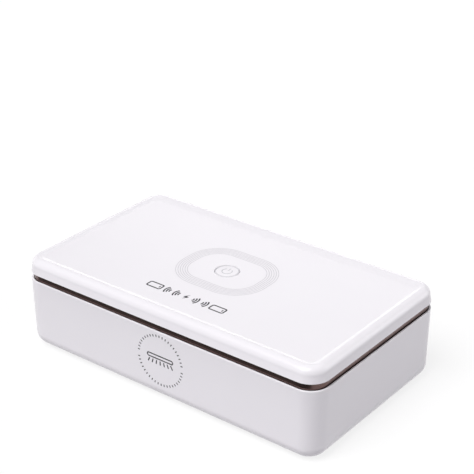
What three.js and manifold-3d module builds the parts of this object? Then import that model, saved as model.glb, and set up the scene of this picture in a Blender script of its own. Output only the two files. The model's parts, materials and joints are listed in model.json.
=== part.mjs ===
// UV sanitizer box for phones: a white moulded base with a grey tray inside, and a white lid
// with a charging coil, lamps and one round button, on a single short hinge at the rear.
// Millimetres, +Z up. The origin is on the ground under the middle of the box, X runs along
// its length, the front faces -Y and the hinge is at +Y.

import * as THREE from 'three';
import { mergeVertices } from 'three/addons/utils/BufferGeometryUtils.js';
import Module from 'manifold-3d';

const wasm = await Module();
wasm.setup();

// Driving sizes

const gap = 0.3;        // clearance between pieces that touch or slide
const overrun = 1;      // how far a cutter passes the face that it cuts

const box = { length: 220, depth: 127, corner: 12.7 };
const base = { height: 46.3, wall: 2.4, floor: 2.4, edge: 8.5, draft: 0.8, lip: 1.2, ease: 0.3 };
const tray = { wall: 1.6, floor: 1.6, edge: 5, flange: 1.3, lift: 5.6, boss: 3, bossRadius: 3.2 };
const foot = { radius: 5.5, stand: 1, sunk: 1, ease: 0.5, fromEnd: 22, fromSide: 21.5 };
const tower = { radius: 4.2 };
const frame = {
  wall: 1.6, skirt: 2.9, seat: 0.4, tongue: 1.6, tongueRise: 1.3, ledge: 1.4, ledgeThick: 1.2,
};
const band = { height: 4.3 };
const lid = {
  wall: 2, top: 1.6, ease: 0.3, rollWidth: 6.2, rollRear: 6.8, rollDrop: 5, rollPower: 2.1,
  dish: 0.7, dishWidth: 3.2, dishRear: 7,
};
const liner = { thick: 1.4, ease: 0.4 };
const hinge = {
  inset: 1.2, width: 27, knuckle: 8, barrel: 2.1, pin: 0.9, play: 0.4, pinShort: 0.5,
};
const arm = { thick: 1.2, sideRoom: 1.3, screwInset: 3.5 };
const cover = { depth: 13, wall: 1.2, floor: 1.2, above: 0.6, round: 1.5 };
const catchBlock = { depth: 13, wall: 1.2, floor: 1.2, above: 0.8, round: 1.5, magnetRoom: 0.8 };
const magnet = { length: 12, thick: 1.5, height: 5, between: 6, lidWidth: 4, lidHeight: 2 };
const magnetShelf = { thick: 1.2, rib: 1.2 };
const sensor = { radius: 1.75, head: 2.6, headThick: 0.7, below: 0.5, fromHinge: 4.5 };
const button = {
  radius: 7.5, travel: 0.6, flange: 1.5, flangeThick: 0.6, stem: 1.5, ease: 0.2, dish: 0.2, border: 0.9,
};
const coil = { wire: 0.9, pitch: 1.6, turns: 8, clear: 0.4 };
const ferrite = { thick: 0.6, border: 1.2 };
const board = { thick: 0.8, length: 72, depth: 84, above: 1.3, screwInsetX: 6, screwInsetY: 7 };
const strip = { width: 14, fromSide: 17.5, screwInset: 5 };
const lamp = {
  size: 3.5, height: 0.9, lens: 1.3, lensHeight: 0.3, hole: 3.5, fromEnd: 43, fromSide: 32.5,
};
const keySwitch = { size: 6, height: 1.2, seat: 0.1 };
const port = { width: 9, height: 3.2, depth: 7.4, shell: 0.3, tongue: 6.4, tongueThick: 0.7, sunk: 0.5 };
const portTab = { width: 16, margin: 1.2 };
const ribbon = { width: 8, thick: 0.5, rise: 1.2, foot: 3 };
const baseScrew = { head: 2.4, headHeight: 1.2, shank: 1, dome: 0.3 };
const boardScrew = { head: 1.7, headHeight: 0.9, shank: 0.8, dome: 0.2 };
const screwBoss = { wall: 1.1, bite: 2.4 };

// How finely curves are divided
const facets = { corner: 6, edge: 5, roll: 6, round: 20, small: 8, button: 32, coilTurn: 24, coilWire: 6 };

// Heights above the ground, from the bottom up. The lid is as high as what it holds: liner, board,
// ferrite sheet and coil, one over the other.

const underside = foot.stand;
const floorTop = underside + base.floor;
const rim = underside + base.height;
const lidEdge = rim + band.height;
const skirtEnd = rim - frame.skirt;
const trayRim = skirtEnd - frame.seat;
const shellLedge = trayRim - tray.flange - gap;
const trayUnder = floorTop + tray.lift;
const trayFloor = trayUnder + tray.floor;
const linerTop = lidEdge + liner.thick;
const shoulder = lidEdge - gap;
const boardUnder = linerTop + gap + boardScrew.headHeight + gap;
const boardTop = boardUnder + board.thick;
const ferriteUnder = boardTop + board.above;
const ferriteTop = ferriteUnder + ferrite.thick;
const coilZ = ferriteTop + gap + coil.wire / 2;
const ceiling = coilZ + coil.wire / 2 + gap;
const top = ceiling + lid.top;
const crest = top + lid.dish;
const magnetTop = shellLedge;

// Distances in from the outer wall

const frameOuter = base.lip + gap;
const frameInner = frameOuter + frame.wall;
const tongueOuter = lid.wall + gap;
const tongueInner = tongueOuter + frame.tongue;
const leanRoom = base.draft * magnet.height / base.height;
const trayOuter = base.wall + gap + magnet.thick + gap + leanRoom;
const trayInner = trayOuter + tray.wall;

// The hinge line, just inside the rear face and half way up the band

const pivot = { y: box.depth / 2 - hinge.inset, z: (rim + lidEdge) / 2 };
const pinHole = hinge.pin + gap;
const hingeFront = pivot.y - hinge.barrel - gap;
const hingeTop = pivot.z + hinge.barrel + gap;
const hingeBelow = pivot.z - hinge.barrel - gap;

// Geometry helpers

// A manifold solid from closed three.js geometry, its matching corners merged
function solid(geometry) {
  const bare = geometry.clone();
  bare.deleteAttribute('normal');
  bare.deleteAttribute('uv');
  const merged = mergeVertices(bare);
  const mesh = new wasm.Mesh({
    numProp: 3,
    vertProperties: Float32Array.from(merged.attributes.position.array),
    triVerts: Uint32Array.from(merged.index.array),
  });
  return new wasm.Manifold(mesh);
}

function geometryOf(shape) {
  const mesh = shape.getMesh();
  const geometry = new THREE.BufferGeometry();
  const corners = Float32Array.from(mesh.vertProperties);
  geometry.setAttribute('position', new THREE.BufferAttribute(corners, mesh.numProp));
  geometry.setIndex(Array.from(mesh.triVerts));
  return geometry;
}

function join(first, ...others) {
  return others.reduce((whole, piece) => whole.add(piece), first);
}

function cut(first, ...others) {
  return others.reduce((whole, piece) => whole.subtract(piece), first);
}

// A block between two opposite corners, given in either order
function block(one, other) {
  const size = one.map((value, axis) => Math.abs(other[axis] - value));
  const middle = one.map((value, axis) => (value + other[axis]) / 2);
  return solid(new THREE.BoxGeometry(...size).translate(...middle));
}

// A round bar standing along Z, and one lying along X
function upright(radius, x, y, bottom, topEnd, sides = facets.round) {
  const bar = new THREE.CylinderGeometry(radius, radius, topEnd - bottom, sides).rotateX(Math.PI / 2);
  return solid(bar.translate(x, y, (bottom + topEnd) / 2));
}

function lying(radius, fromX, toX, y, z, sides = facets.round) {
  const bar = new THREE.CylinderGeometry(radius, radius, toX - fromX, sides).rotateZ(Math.PI / 2);
  return solid(bar.translate((fromX + toX) / 2, y, z));
}

// A turned piece from its half outline, given as [radius, height] pairs that start and end on the axis
function turned(outline, sides = facets.round) {
  const points = outline.map(([radius, height]) => new THREE.Vector2(radius, height));
  return new THREE.LatheGeometry(points, sides).rotateX(Math.PI / 2);
}

// One level outline of the box: a rounded rectangle drawn in from the outer walls. The rear side can
// be drawn in further than the others. Every outline has the same number of points.
function outline(inset, z, rearInset = inset) {
  const radius = Math.max(box.corner - inset, base.ease);
  const right = box.length / 2 - inset - radius;
  const front = -(box.depth / 2 - inset - radius);
  const rear = box.depth / 2 - rearInset - radius;
  const centres = [[right, rear], [-right, rear], [-right, front], [right, front]];
  const points = [];
  centres.forEach(([x, y], quarter) => {
    for (let step = 0; step <= facets.corner; step += 1) {
      const angle = (quarter + step / facets.corner) * Math.PI / 2;
      points.push([x + radius * Math.cos(angle), y + radius * Math.sin(angle), z]);
    }
  });
  return points;
}

// A skin over a stack of outlines. An open stack gets a flat lid at both ends, and a looped one
// joins its last outline to its first. Outlines that climb face outwards.
function skin(outlines, looped = false) {
  const count = outlines[0].length;
  const corners = outlines.flat();
  const faces = [];
  const rows = looped ? outlines.length : outlines.length - 1;
  for (let row = 0; row < rows; row += 1) {
    const here = row * count;
    const next = ((row + 1) % outlines.length) * count;
    for (let at = 0; at < count; at += 1) {
      const after = (at + 1) % count;
      faces.push(here + at, here + after, next + after);
      faces.push(here + at, next + after, next + at);
    }
  }
  if (!looped) {
    const last = (outlines.length - 1) * count;
    for (let at = 1; at < count - 1; at += 1) {
      faces.push(0, at + 1, at);
      faces.push(last, last + at, last + at + 1);
    }
  }
  const geometry = new THREE.BufferGeometry();
  geometry.setAttribute('position', new THREE.Float32BufferAttribute(corners.flat(), 3));
  geometry.setIndex(faces);
  return solid(geometry);
}

// The base leans in towards its foot by its mould's draft
function lean(z) {
  return base.draft * (rim - z) / base.height;
}

function baseOutline(inset, z) {
  return outline(inset + lean(z), z);
}

// Quarter round between a floor and a wall, climbing from the floor: insets and heights
function quarterRound(centreInset, centreZ, across, down, climbing) {
  const steps = [];
  for (let step = 0; step <= facets.edge; step += 1) {
    const angle = (step / facets.edge) * Math.PI / 2;
    steps.push([centreInset - across * Math.sin(angle), centreZ - down * Math.cos(angle)]);
  }
  return climbing ? steps : steps.reverse();
}

// The soft roll from the lid's wall to its crest, as a superellipse that is wider at the rear
function rollOutlines(wallInset, topZ) {
  const power = 2 / lid.rollPower;
  const outlines = [];
  for (let step = 0; step <= facets.roll; step += 1) {
    const angle = (step / facets.roll) * Math.PI / 2;
    const inwards = 1 - Math.max(Math.cos(angle), 0) ** power;
    const inset = wallInset + (lid.rollWidth - wallInset) * inwards;
    const rearInset = wallInset + (lid.rollRear - wallInset) * inwards;
    const z = topZ - lid.rollDrop * (1 - Math.sin(angle) ** power);
    outlines.push(outline(inset, z, rearInset));
  }
  return outlines;
}

// Places that more than one piece shares

const sides = [-1, 1];

// The four corners of a rectangle round the middle of the box, front ones first
function fourCorners(halfX, halfY) {
  return sides.flatMap((y) => sides.map((x) => [x * halfX, y * halfY]));
}

const lampX = box.length / 2 - lamp.fromEnd;
const lampY = box.depth / 2 - lamp.fromSide;
const stripHalf = box.depth / 2 - strip.fromSide;
const armHalf = hinge.width / 2 - cover.wall - arm.sideRoom;
const catchHalf = magnet.between / 2 + magnet.length + catchBlock.magnetRoom + catchBlock.wall;
const portX = board.length / 2 - portTab.width / 2;
const footPlaces = fourCorners(box.length / 2 - foot.fromEnd, box.depth / 2 - foot.fromSide);
const boardHoles = fourCorners(board.length / 2 - board.screwInsetX, board.depth / 2 - board.screwInsetY);
const stripHoles = fourCorners(lampX, stripHalf - strip.screwInset);
const hingeHoles = sides.map((x) => [x * (armHalf - arm.screwInset), hingeFront - cover.depth / 2]);
const magnetPlaces = sides.map((x) => x * (magnet.between + magnet.length) / 2);
const magnetMiddle = magnetTop - gap - magnet.height / 2;
const magnetY = box.depth / 2 - base.wall - lean(magnetTop - magnet.height) - gap - magnet.thick / 2;
const sensorX = -(hinge.width / 2 + sensor.fromHinge);
const sensorY = hingeFront - cover.depth / 2;
const notch = hinge.width / 2 + gap;
const lidKnuckle = hinge.width / 2 - hinge.knuckle - hinge.play;
const shankHole = baseScrew.shank + gap;

// Base

// The well for a foot, the seat for its screw and the shank's hole, cut up through the floor
function footWell([x, y]) {
  const wellTop = underside + foot.sunk + gap;
  const headTop = wellTop + baseScrew.headHeight + gap;
  return join(
    upright(foot.radius + gap, x, y, underside - overrun, wellTop),
    upright(baseScrew.head + gap, x, y, wellTop - overrun, headTop),
    upright(shankHole, x, y, headTop - overrun, trayUnder, facets.small),
  );
}

// A shelf and end ribs on the inside of the front (-1) or rear (1) wall, which hold one bar magnet
function magnetPocket(x, side) {
  const shelf = magnetTop - magnet.height - gap;
  const shelfEdge = magnetY - magnet.thick / 2;
  const root = box.depth / 2 - base.wall / 2 - lean(shelf);
  const wallInside = box.depth / 2 - base.wall - lean(magnetTop);
  const half = magnet.length / 2 + gap;
  const outerHalf = half + magnetShelf.rib;
  return cut(
    block([x - outerHalf, side * root, shelf - magnetShelf.thick],
      [x + outerHalf, side * shelfEdge, magnetTop - gap]),
    block([x - half, side * wallInside, shelf], [x + half, side * (shelfEdge - overrun), magnetTop]),
  );
}

// One of the base's two hinge knuckles, on a web that grows out of the rear wall
function baseKnuckle(side) {
  const from = side < 0 ? -hinge.width / 2 : hinge.width / 2 - hinge.knuckle;
  const to = from + hinge.knuckle;
  const wallInside = box.depth / 2 - base.wall;
  return join(
    lying(hinge.barrel, from, to, pivot.y, pivot.z),
    block([from, wallInside, shellLedge - overrun], [to, box.depth / 2, pivot.z]),
  );
}

function baseShell() {
  const roundZ = underside + base.edge;
  const outer = quarterRound(base.edge, roundZ, base.edge, base.edge, true);
  const inner = quarterRound(base.edge, roundZ, base.edge - base.wall, base.edge - base.floor, false);
  const profile = [
    ...outer,
    [0, rim - base.ease], [base.ease, rim], [base.lip, rim],
    [base.lip, shellLedge], [base.wall, shellLedge],
    ...inner,
  ];
  const body = skin(profile.map(([inset, z]) => baseOutline(inset, z)));
  const towerTop = trayUnder - tray.boss - gap;
  const towerRoot = underside + base.floor / 2;
  const towers = footPlaces.map(([x, y]) => upright(tower.radius, x, y, towerRoot, towerTop));
  const pockets = [
    ...magnetPlaces.map((x) => magnetPocket(x, -1)),
    magnetPocket(sensorX, 1),
  ];
  const whole = join(body, ...towers, ...pockets, ...sides.map(baseKnuckle));
  const rearFace = box.depth / 2 + overrun;
  const lidKnuckleRoom = lidKnuckle + hinge.play;
  return cut(
    whole,
    ...footPlaces.map(footWell),
    lying(pinHole, -hinge.width, hinge.width, pivot.y, pivot.z, facets.small),
    block([-lidKnuckleRoom, hingeFront, hingeBelow], [lidKnuckleRoom, rearFace, pivot.z]),
  );
}

function baseTray() {
  const wallEdge = tray.edge + tray.wall;
  const outer = quarterRound(trayOuter + wallEdge, trayUnder + wallEdge, wallEdge, wallEdge, true);
  const inner = quarterRound(trayInner + tray.edge, trayFloor + tray.edge, tray.edge, tray.edge, false);
  const profile = [
    ...outer,
    [trayOuter, trayRim - tray.flange], [frameOuter, trayRim - tray.flange],
    [frameOuter, trayRim], [trayInner, trayRim],
    ...inner,
  ];
  const body = skin(profile.map(([inset, z]) => baseOutline(inset, z)));
  const bossEnd = trayUnder - tray.boss;
  const bossRoot = trayUnder + tray.floor / 2;
  const bosses = footPlaces.map(([x, y]) => upright(tray.bossRadius, x, y, bossEnd, bossRoot));
  const holes = footPlaces.map(([x, y]) => (
    upright(shankHole, x, y, bossEnd - overrun, trayUnder, facets.small)
  ));
  const wallInside = box.depth / 2 - base.wall - gap;
  return cut(
    join(body, ...bosses),
    ...holes,
    block([-notch, wallInside, trayRim - tray.flange - overrun], [notch, box.depth / 2, trayRim + overrun]),
  );
}

function rubberFoot() {
  return turned([
    [0, 0], [foot.radius - foot.ease, 0], [foot.radius, foot.ease],
    [foot.radius, foot.stand + foot.sunk], [0, foot.stand + foot.sunk],
  ]);
}

// A screw that stands on its head: the head's flat underside is at height zero, the shank above it
function screwShape(size, shankLength) {
  return turned([
    [0, -size.headHeight], [size.head - size.dome, -size.headHeight],
    [size.head, size.dome - size.headHeight], [size.head, 0],
    [size.shank, 0], [size.shank, shankLength], [0, shankLength],
  ], facets.small);
}

function barMagnet() {
  return new THREE.BoxGeometry(magnet.length, magnet.thick, magnet.height);
}

function hingePin() {
  const length = hinge.width - hinge.pinShort * 2;
  return new THREE.CylinderGeometry(hinge.pin, hinge.pin, length, facets.small).rotateZ(Math.PI / 2);
}

// Lid

// The opening for the charging inlet: a slot with round ends, along Y
function stadium(width, height) {
  const radius = height / 2;
  const shape = new THREE.Shape();
  shape.absarc(width / 2 - radius, 0, radius, -Math.PI / 2, Math.PI / 2);
  shape.absarc(radius - width / 2, 0, radius, Math.PI / 2, Math.PI * 3 / 2);
  return shape;
}

function alongDepth(shape, fromY, toY, x, z) {
  const settings = { depth: toY - fromY, bevelEnabled: false, curveSegments: facets.edge };
  return solid(new THREE.ExtrudeGeometry(shape, settings).rotateX(Math.PI / 2).translate(x, toY, z));
}

const portMouth = box.depth / 2 - port.sunk;
const portZ = (boardUnder + boardTop) / 2;

// A hanging boss with a blind hole for a screw
function hangingBoss([x, y], bottom, shank) {
  return {
    post: upright(shank + gap + screwBoss.wall, x, y, bottom, ceiling + lid.top / 2, facets.small),
    hole: upright(shank + gap, x, y, bottom - overrun, ceiling, facets.small),
  };
}

function lidShell() {
  const outlines = [
    ...rollOutlines(lid.wall, ceiling).reverse(),
    outline(lid.wall, lidEdge), outline(lid.ease, lidEdge), outline(0, lidEdge + lid.ease),
    ...rollOutlines(0, crest),
    outline(lid.rollWidth + lid.dishWidth, top, lid.rollRear + lid.dishRear),
  ];
  const bosses = [
    ...[...boardHoles, ...stripHoles].map((place) => hangingBoss(place, boardTop + gap, boardScrew.shank)),
    ...hingeHoles.map((place) => hangingBoss(place, pivot.z + arm.thick / 2 + gap, baseScrew.shank)),
  ];
  const whole = join(skin(outlines), ...bosses.map((boss) => boss.post));
  const innerWall = box.depth / 2 - lid.wall - overrun;
  return cut(
    whole,
    ...bosses.map((boss) => boss.hole),
    upright(button.radius + gap, 0, 0, ceiling - overrun, top + overrun, facets.button),
    block([-notch, innerWall, lidEdge - overrun], [notch, box.depth / 2 + overrun, hingeTop]),
    alongDepth(stadium(port.width + gap * 2, port.height + gap * 2),
      portMouth - port.depth - gap, box.depth / 2 + overrun, portX, portZ),
  );
}

// The dark band that shows between lid and base: its skirt drops inside the base's lip, its tongue
// stands inside the lid's wall and its ledge carries the liner
function trimFrame() {
  const ledgeInner = tongueInner + frame.ledge;
  const profile = [
    [frameOuter, skirtEnd], [frameOuter, shoulder], [tongueOuter, shoulder],
    [tongueOuter, lidEdge + frame.tongueRise], [tongueInner, lidEdge + frame.tongueRise],
    [tongueInner, shoulder], [ledgeInner, shoulder], [ledgeInner, shoulder - frame.ledgeThick],
    [frameInner, shoulder - frame.ledgeThick], [frameInner, skirtEnd],
  ];
  const ring = skin(profile.map(([inset, z]) => outline(inset, z)), true);
  const inside = box.depth / 2 - ledgeInner - overrun;
  return cut(
    ring,
    block([-notch, inside, skirtEnd - overrun], [notch, box.depth / 2, hingeTop]),
  );
}

function lampPlaces() {
  const rows = ['front', 'middle', 'rear'];
  const columns = ['left', 'centre', 'right'];
  return columns.flatMap((column, across) => rows.map((row, along) => ({
    name: `uv_lamp_${column}_${row}`,
    x: (across - 1) * lampX,
    y: (along - 1) * lampY,
  })));
}

function lidLiner() {
  const inset = tongueInner + gap;
  const plate = skin([
    outline(inset + liner.ease, lidEdge), outline(inset, lidEdge + liner.ease), outline(inset, linerTop),
  ]);
  const hole = (radius, x, y) => upright(radius, x, y, lidEdge - overrun, linerTop + overrun);
  const bossRadius = baseScrew.shank + gap + screwBoss.wall + gap;
  return cut(
    plate,
    ...lampPlaces().map(({ x, y }) => hole(lamp.hole, x, y)),
    ...hingeHoles.map(([x, y]) => hole(bossRadius, x, y)),
    hole(sensor.radius + gap, sensorX, sensorY),
  );
}

// An open-topped block with rounded corners under the liner
function hollowBlock(halfWidth, nearY, farY, bottom, size) {
  const plan = (inset) => {
    const shape = new THREE.Shape();
    const radius = Math.max(size.round - inset, gap);
    const right = halfWidth - inset;
    const low = nearY + inset;
    const high = farY - inset;
    shape.absarc(right - radius, high - radius, radius, 0, Math.PI / 2);
    shape.absarc(radius - right, high - radius, radius, Math.PI / 2, Math.PI);
    shape.absarc(radius - right, low + radius, radius, Math.PI, Math.PI * 3 / 2);
    shape.absarc(right - radius, low + radius, radius, Math.PI * 3 / 2, Math.PI * 2);
    return shape;
  };
  const raise = (shape, from, to) => {
    const settings = { depth: to - from, bevelEnabled: false, curveSegments: facets.edge };
    return solid(new THREE.ExtrudeGeometry(shape, settings).translate(0, 0, from));
  };
  return cut(
    raise(plan(0), bottom, shoulder),
    raise(plan(size.wall), bottom + size.floor, shoulder + overrun),
  );
}

const catchFront = -(box.depth / 2 - frameInner - gap);
const catchFloor = trayRim + catchBlock.above;

function catchHolder() {
  const holder = hollowBlock(catchHalf, catchFront, catchFront + catchBlock.depth, catchFloor, catchBlock);
  const ledgeRoom = box.depth / 2 - tongueInner - frame.ledge - gap;
  return cut(
    holder,
    block([-catchHalf - overrun, catchFront - overrun, shoulder - frame.ledgeThick - gap],
      [catchHalf + overrun, -ledgeRoom, shoulder + overrun]),
  );
}

function hingeCover() {
  const bottom = trayRim + cover.above;
  const holder = hollowBlock(hinge.width / 2, hingeFront - cover.depth, hingeFront, bottom, cover);
  const neck = lidKnuckle + gap;
  return cut(
    holder,
    block([-neck, hingeFront - cover.wall - overrun, pivot.z - arm.thick / 2 - gap],
      [neck, hingeFront + overrun, shoulder + overrun]),
  );
}

function hingeArm() {
  const bottom = pivot.z - arm.thick / 2;
  const upper = pivot.z + arm.thick / 2;
  const leafRear = hingeFront - cover.wall - gap;
  const leafFront = hingeFront - cover.depth + cover.wall + gap;
  const leaf = join(
    block([-armHalf, leafFront, bottom], [armHalf, leafRear, upper]),
    block([-lidKnuckle, leafRear - overrun, bottom], [lidKnuckle, pivot.y, upper]),
    lying(hinge.barrel, -lidKnuckle, lidKnuckle, pivot.y, pivot.z),
  );
  const holes = hingeHoles.map(([x, y]) => (
    upright(shankHole, x, y, bottom - overrun, upper + overrun, facets.small)
  ));
  return cut(leaf, ...holes, lying(pinHole, -hinge.width, hinge.width, pivot.y, pivot.z, facets.small));
}

// Electronics in the lid

// One unbroken wire wound in a flat spiral, drawn as a round section carried along the curve
class FlatSpiral extends THREE.Curve {
  constructor(innerRadius, pitch, turns) {
    super();
    Object.assign(this, { innerRadius, pitch, turns });
  }

  getPoint(share, target = new THREE.Vector3()) {
    const angle = share * this.turns * Math.PI * 2;
    const radius = this.innerRadius + this.pitch * share * this.turns;
    return target.set(radius * Math.cos(angle), radius * Math.sin(angle), 0);
  }
}

const buttonFlange = button.radius + button.flange;
const coilInner = buttonFlange + coil.clear + coil.wire / 2;
const coilOuter = coilInner + coil.pitch * coil.turns;

// The section is swept here with a fixed up direction, because the spiral is flat: the sweep's rings
// stand square to the wire and never twist
function chargingCoil() {
  const path = new FlatSpiral(coilInner, coil.pitch, coil.turns);
  const steps = coil.turns * facets.coilTurn;
  const rings = [];
  for (let step = 0; step <= steps; step += 1) {
    const centre = path.getPoint(step / steps);
    const outwards = new THREE.Vector3(centre.x, centre.y, 0).normalize();
    const ring = [];
    for (let side = 0; side < facets.coilWire; side += 1) {
      const angle = side / facets.coilWire * Math.PI * 2;
      const across = Math.cos(angle) * coil.wire / 2;
      const up = Math.sin(angle) * coil.wire / 2;
      ring.push([centre.x + outwards.x * across, centre.y + outwards.y * across, coilZ + up]);
    }
    rings.push(ring);
  }
  reportCoilGap(path, steps);
  return skin(rings.reverse());
}

// Least distance between points one turn apart, less the wire
function reportCoilGap(path, steps) {
  let least = Infinity;
  for (let step = 0; step + facets.coilTurn <= steps; step += 1) {
    const here = path.getPoint(step / steps);
    const outside = path.getPoint((step + facets.coilTurn) / steps);
    least = Math.min(least, here.distanceTo(outside) - coil.wire);
  }
  console.log(`charging coil: least gap between turns ${least.toFixed(2)} mm`);
}

function ferriteSheet() {
  const outer = coilOuter + coil.wire / 2 + ferrite.border;
  const inner = buttonFlange + coil.clear;
  return cut(
    upright(outer, 0, 0, ferriteUnder, ferriteTop, facets.button),
    upright(inner, 0, 0, ferriteUnder - overrun, ferriteTop + overrun, facets.button),
  );
}

// Parts soldered on the board, as [x, y, width, depth, height]: x in shares of the board's half length,
// y of its half depth, and the other three of its depth
const chipShares = [
  [-0.7, -0.55, 0.09, 0.09, 0.017], [0.68, -0.6, 0.085, 0.085, 0.03], [0.7, 0.52, 0.07, 0.1, 0.02],
  [-0.72, 0.5, 0.06, 0.06, 0.025], [-0.4, -0.8, 0.04, 0.075, 0.017], [0.3, -0.82, 0.075, 0.05, 0.017],
];

function mainBoard() {
  const halfX = board.length / 2;
  const halfY = board.depth / 2;
  const tabRear = box.depth / 2 - lid.wall - gap - portTab.margin;
  const plate = join(
    block([-halfX, -halfY, boardUnder], [halfX, halfY, boardTop]),
    block([portX - portTab.width / 2, halfY - overrun, boardUnder],
      [portX + portTab.width / 2, tabRear, boardTop]),
  );
  const chips = chipShares.map(([x, y, width, depth, height]) => {
    const halfWidth = width * board.depth / 2;
    const halfDepth = depth * board.depth / 2;
    return block(
      [x * halfX - halfWidth, y * halfY - halfDepth, boardTop - board.thick / 2],
      [x * halfX + halfWidth, y * halfY + halfDepth, boardTop + height * board.depth],
    );
  });
  const portRoom = port.width / 2 + gap;
  const holes = boardHoles.map(([x, y]) => (
    upright(boardScrew.shank + gap, x, y, boardUnder - overrun, boardTop + overrun, facets.small)
  ));
  return cut(
    join(plate, ...chips),
    ...holes,
    block([portX - portRoom, portMouth - port.depth - gap, boardUnder - overrun],
      [portX + portRoom, tabRear + overrun, boardTop + overrun]),
  );
}

function lampStrip(x) {
  const holeY = stripHalf - strip.screwInset;
  const holes = sides.map((side) => (
    upright(boardScrew.shank + gap, x, side * holeY, boardUnder - overrun, boardTop + overrun, facets.small)
  ));
  return cut(
    block([x - strip.width / 2, -stripHalf, boardUnder], [x + strip.width / 2, stripHalf, boardTop]),
    ...holes,
  );
}

// A lamp hangs lens down from its board: its flat back is at height zero
function uvLamp() {
  const body = block([-lamp.size / 2, -lamp.size / 2, -lamp.height], [lamp.size / 2, lamp.size / 2, 0]);
  const lens = upright(lamp.lens, 0, 0, -lamp.height - lamp.lensHeight, -lamp.height / 2, facets.small);
  return geometryOf(join(body, lens));
}

const switchTop = boardTop + gap + keySwitch.height;
const stemEnd = switchTop - gap;

function tactSwitch() {
  const half = keySwitch.size / 2;
  const wellFloor = stemEnd - button.travel - keySwitch.seat;
  return cut(
    block([-half, -half, boardTop + gap], [half, half, switchTop]),
    upright(button.stem + gap, 0, 0, wellFloor, switchTop + overrun, facets.small),
  );
}

function powerButton() {
  const flangeTop = ceiling - gap;
  const flangeUnder = flangeTop - button.flangeThick;
  return turned([
    [0, stemEnd], [button.stem, stemEnd], [button.stem, flangeUnder],
    [buttonFlange, flangeUnder], [buttonFlange, flangeTop], [button.radius, flangeTop],
    [button.radius, top - button.ease], [button.radius - button.ease, top],
    [button.radius - button.border, top], [0, top - button.dish],
  ], facets.button);
}

function chargingPort() {
  const back = portMouth - port.depth;
  const shell = alongDepth(stadium(port.width, port.height), back, portMouth, portX, portZ);
  const bore = stadium(port.width - port.shell * 2, port.height - port.shell * 2);
  const hollow = alongDepth(bore, back + port.shell * 2, portMouth + overrun, portX, portZ);
  const tongue = block(
    [portX - port.tongue / 2, back + port.shell, portZ - port.tongueThick / 2],
    [portX + port.tongue / 2, portMouth - port.sunk, portZ + port.tongueThick / 2],
  );
  return join(cut(shell, hollow), tongue);
}

// A flat cable that arches from the main board to a lamp strip
function ribbonCable(side) {
  const start = board.length / 2 - ribbon.foot;
  const end = lampX - strip.width / 2 + ribbon.foot;
  const low = boardTop + gap;
  const middle = (start + end) / 2;
  const shape = new THREE.Shape();
  shape.moveTo(start, low);
  shape.lineTo(board.length / 2, low);
  shape.quadraticCurveTo(middle, low + ribbon.rise * 2, end - ribbon.foot, low);
  shape.lineTo(end, low);
  shape.lineTo(end, low + ribbon.thick);
  shape.lineTo(end - ribbon.foot, low + ribbon.thick);
  shape.quadraticCurveTo(middle, low + ribbon.rise * 2 + ribbon.thick, board.length / 2, low + ribbon.thick);
  shape.lineTo(start, low + ribbon.thick);
  const settings = { depth: ribbon.width, bevelEnabled: false, curveSegments: facets.small };
  const geometry = new THREE.ExtrudeGeometry(shape, settings).rotateX(Math.PI / 2);
  geometry.translate(0, ribbon.width / 2, 0);
  return side < 0 ? geometry.rotateZ(Math.PI) : geometry;
}

function lidSensor() {
  const flangeUnder = linerTop + gap;
  return turned([
    [0, lidEdge - sensor.below], [sensor.radius, lidEdge - sensor.below],
    [sensor.radius, flangeUnder], [sensor.head, flangeUnder],
    [sensor.head, flangeUnder + sensor.headThick], [0, flangeUnder + sensor.headThick],
  ], facets.small);
}

// Finishes

const finishes = {
  white: { color: '#f4f2f5', roughness: 0.28, metalness: 0 },
  grey: { color: '#c4c4c6', roughness: 0.4, metalness: 0 },
  bronze: { color: '#5b4036', roughness: 0.3, metalness: 0.9 },
  rubber: { color: '#3a3a3c', roughness: 0.9, metalness: 0 },
  steel: { color: '#b9bbbf', roughness: 0.35, metalness: 1 },
  copper: { color: '#b8703f', roughness: 0.4, metalness: 0.9 },
  ferrite: { color: '#2e2d30', roughness: 0.8, metalness: 0.1 },
  laminate: { color: '#e8e8ea', roughness: 0.5, metalness: 0 },
  ceramic: { color: '#e9e4d2', roughness: 0.4, metalness: 0 },
  smoked: { color: '#26262b', roughness: 0.2, metalness: 0 },
  film: { color: '#d9d2bd', roughness: 0.5, metalness: 0 },
};

function piece(name, shape, finish) {
  const geometry = shape.isBufferGeometry ? shape : geometryOf(shape);
  geometry.computeVertexNormals();
  const mesh = new THREE.Mesh(geometry, new THREE.MeshStandardMaterial(finishes[finish]));
  mesh.name = name;
  return mesh;
}

function placed(mesh, x, y, z) {
  mesh.position.set(x, y, z);
  return mesh;
}

// Assembly

const baseGroup = new THREE.Group();
const lidGroup = new THREE.Group();
const buttonGroup = new THREE.Group();

baseGroup.add(piece('base_shell', baseShell(), 'white'));
baseGroup.add(piece('base_tray', baseTray(), 'grey'));
baseGroup.add(placed(piece('hinge_pin', hingePin(), 'steel'), 0, pivot.y, pivot.z));

const cornerNames = ['front_left', 'front_right', 'rear_left', 'rear_right'];
const baseScrewSeat = underside + foot.sunk + gap + baseScrew.headHeight;
const baseShank = trayUnder - gap - baseScrewSeat;
footPlaces.forEach(([x, y], corner) => {
  baseGroup.add(placed(piece(`foot_${cornerNames[corner]}`, rubberFoot(), 'rubber'), x, y, 0));
  const screw = piece(`base_screw_${cornerNames[corner]}`, screwShape(baseScrew, baseShank), 'steel');
  baseGroup.add(placed(screw, x, y, baseScrewSeat));
});

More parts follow.
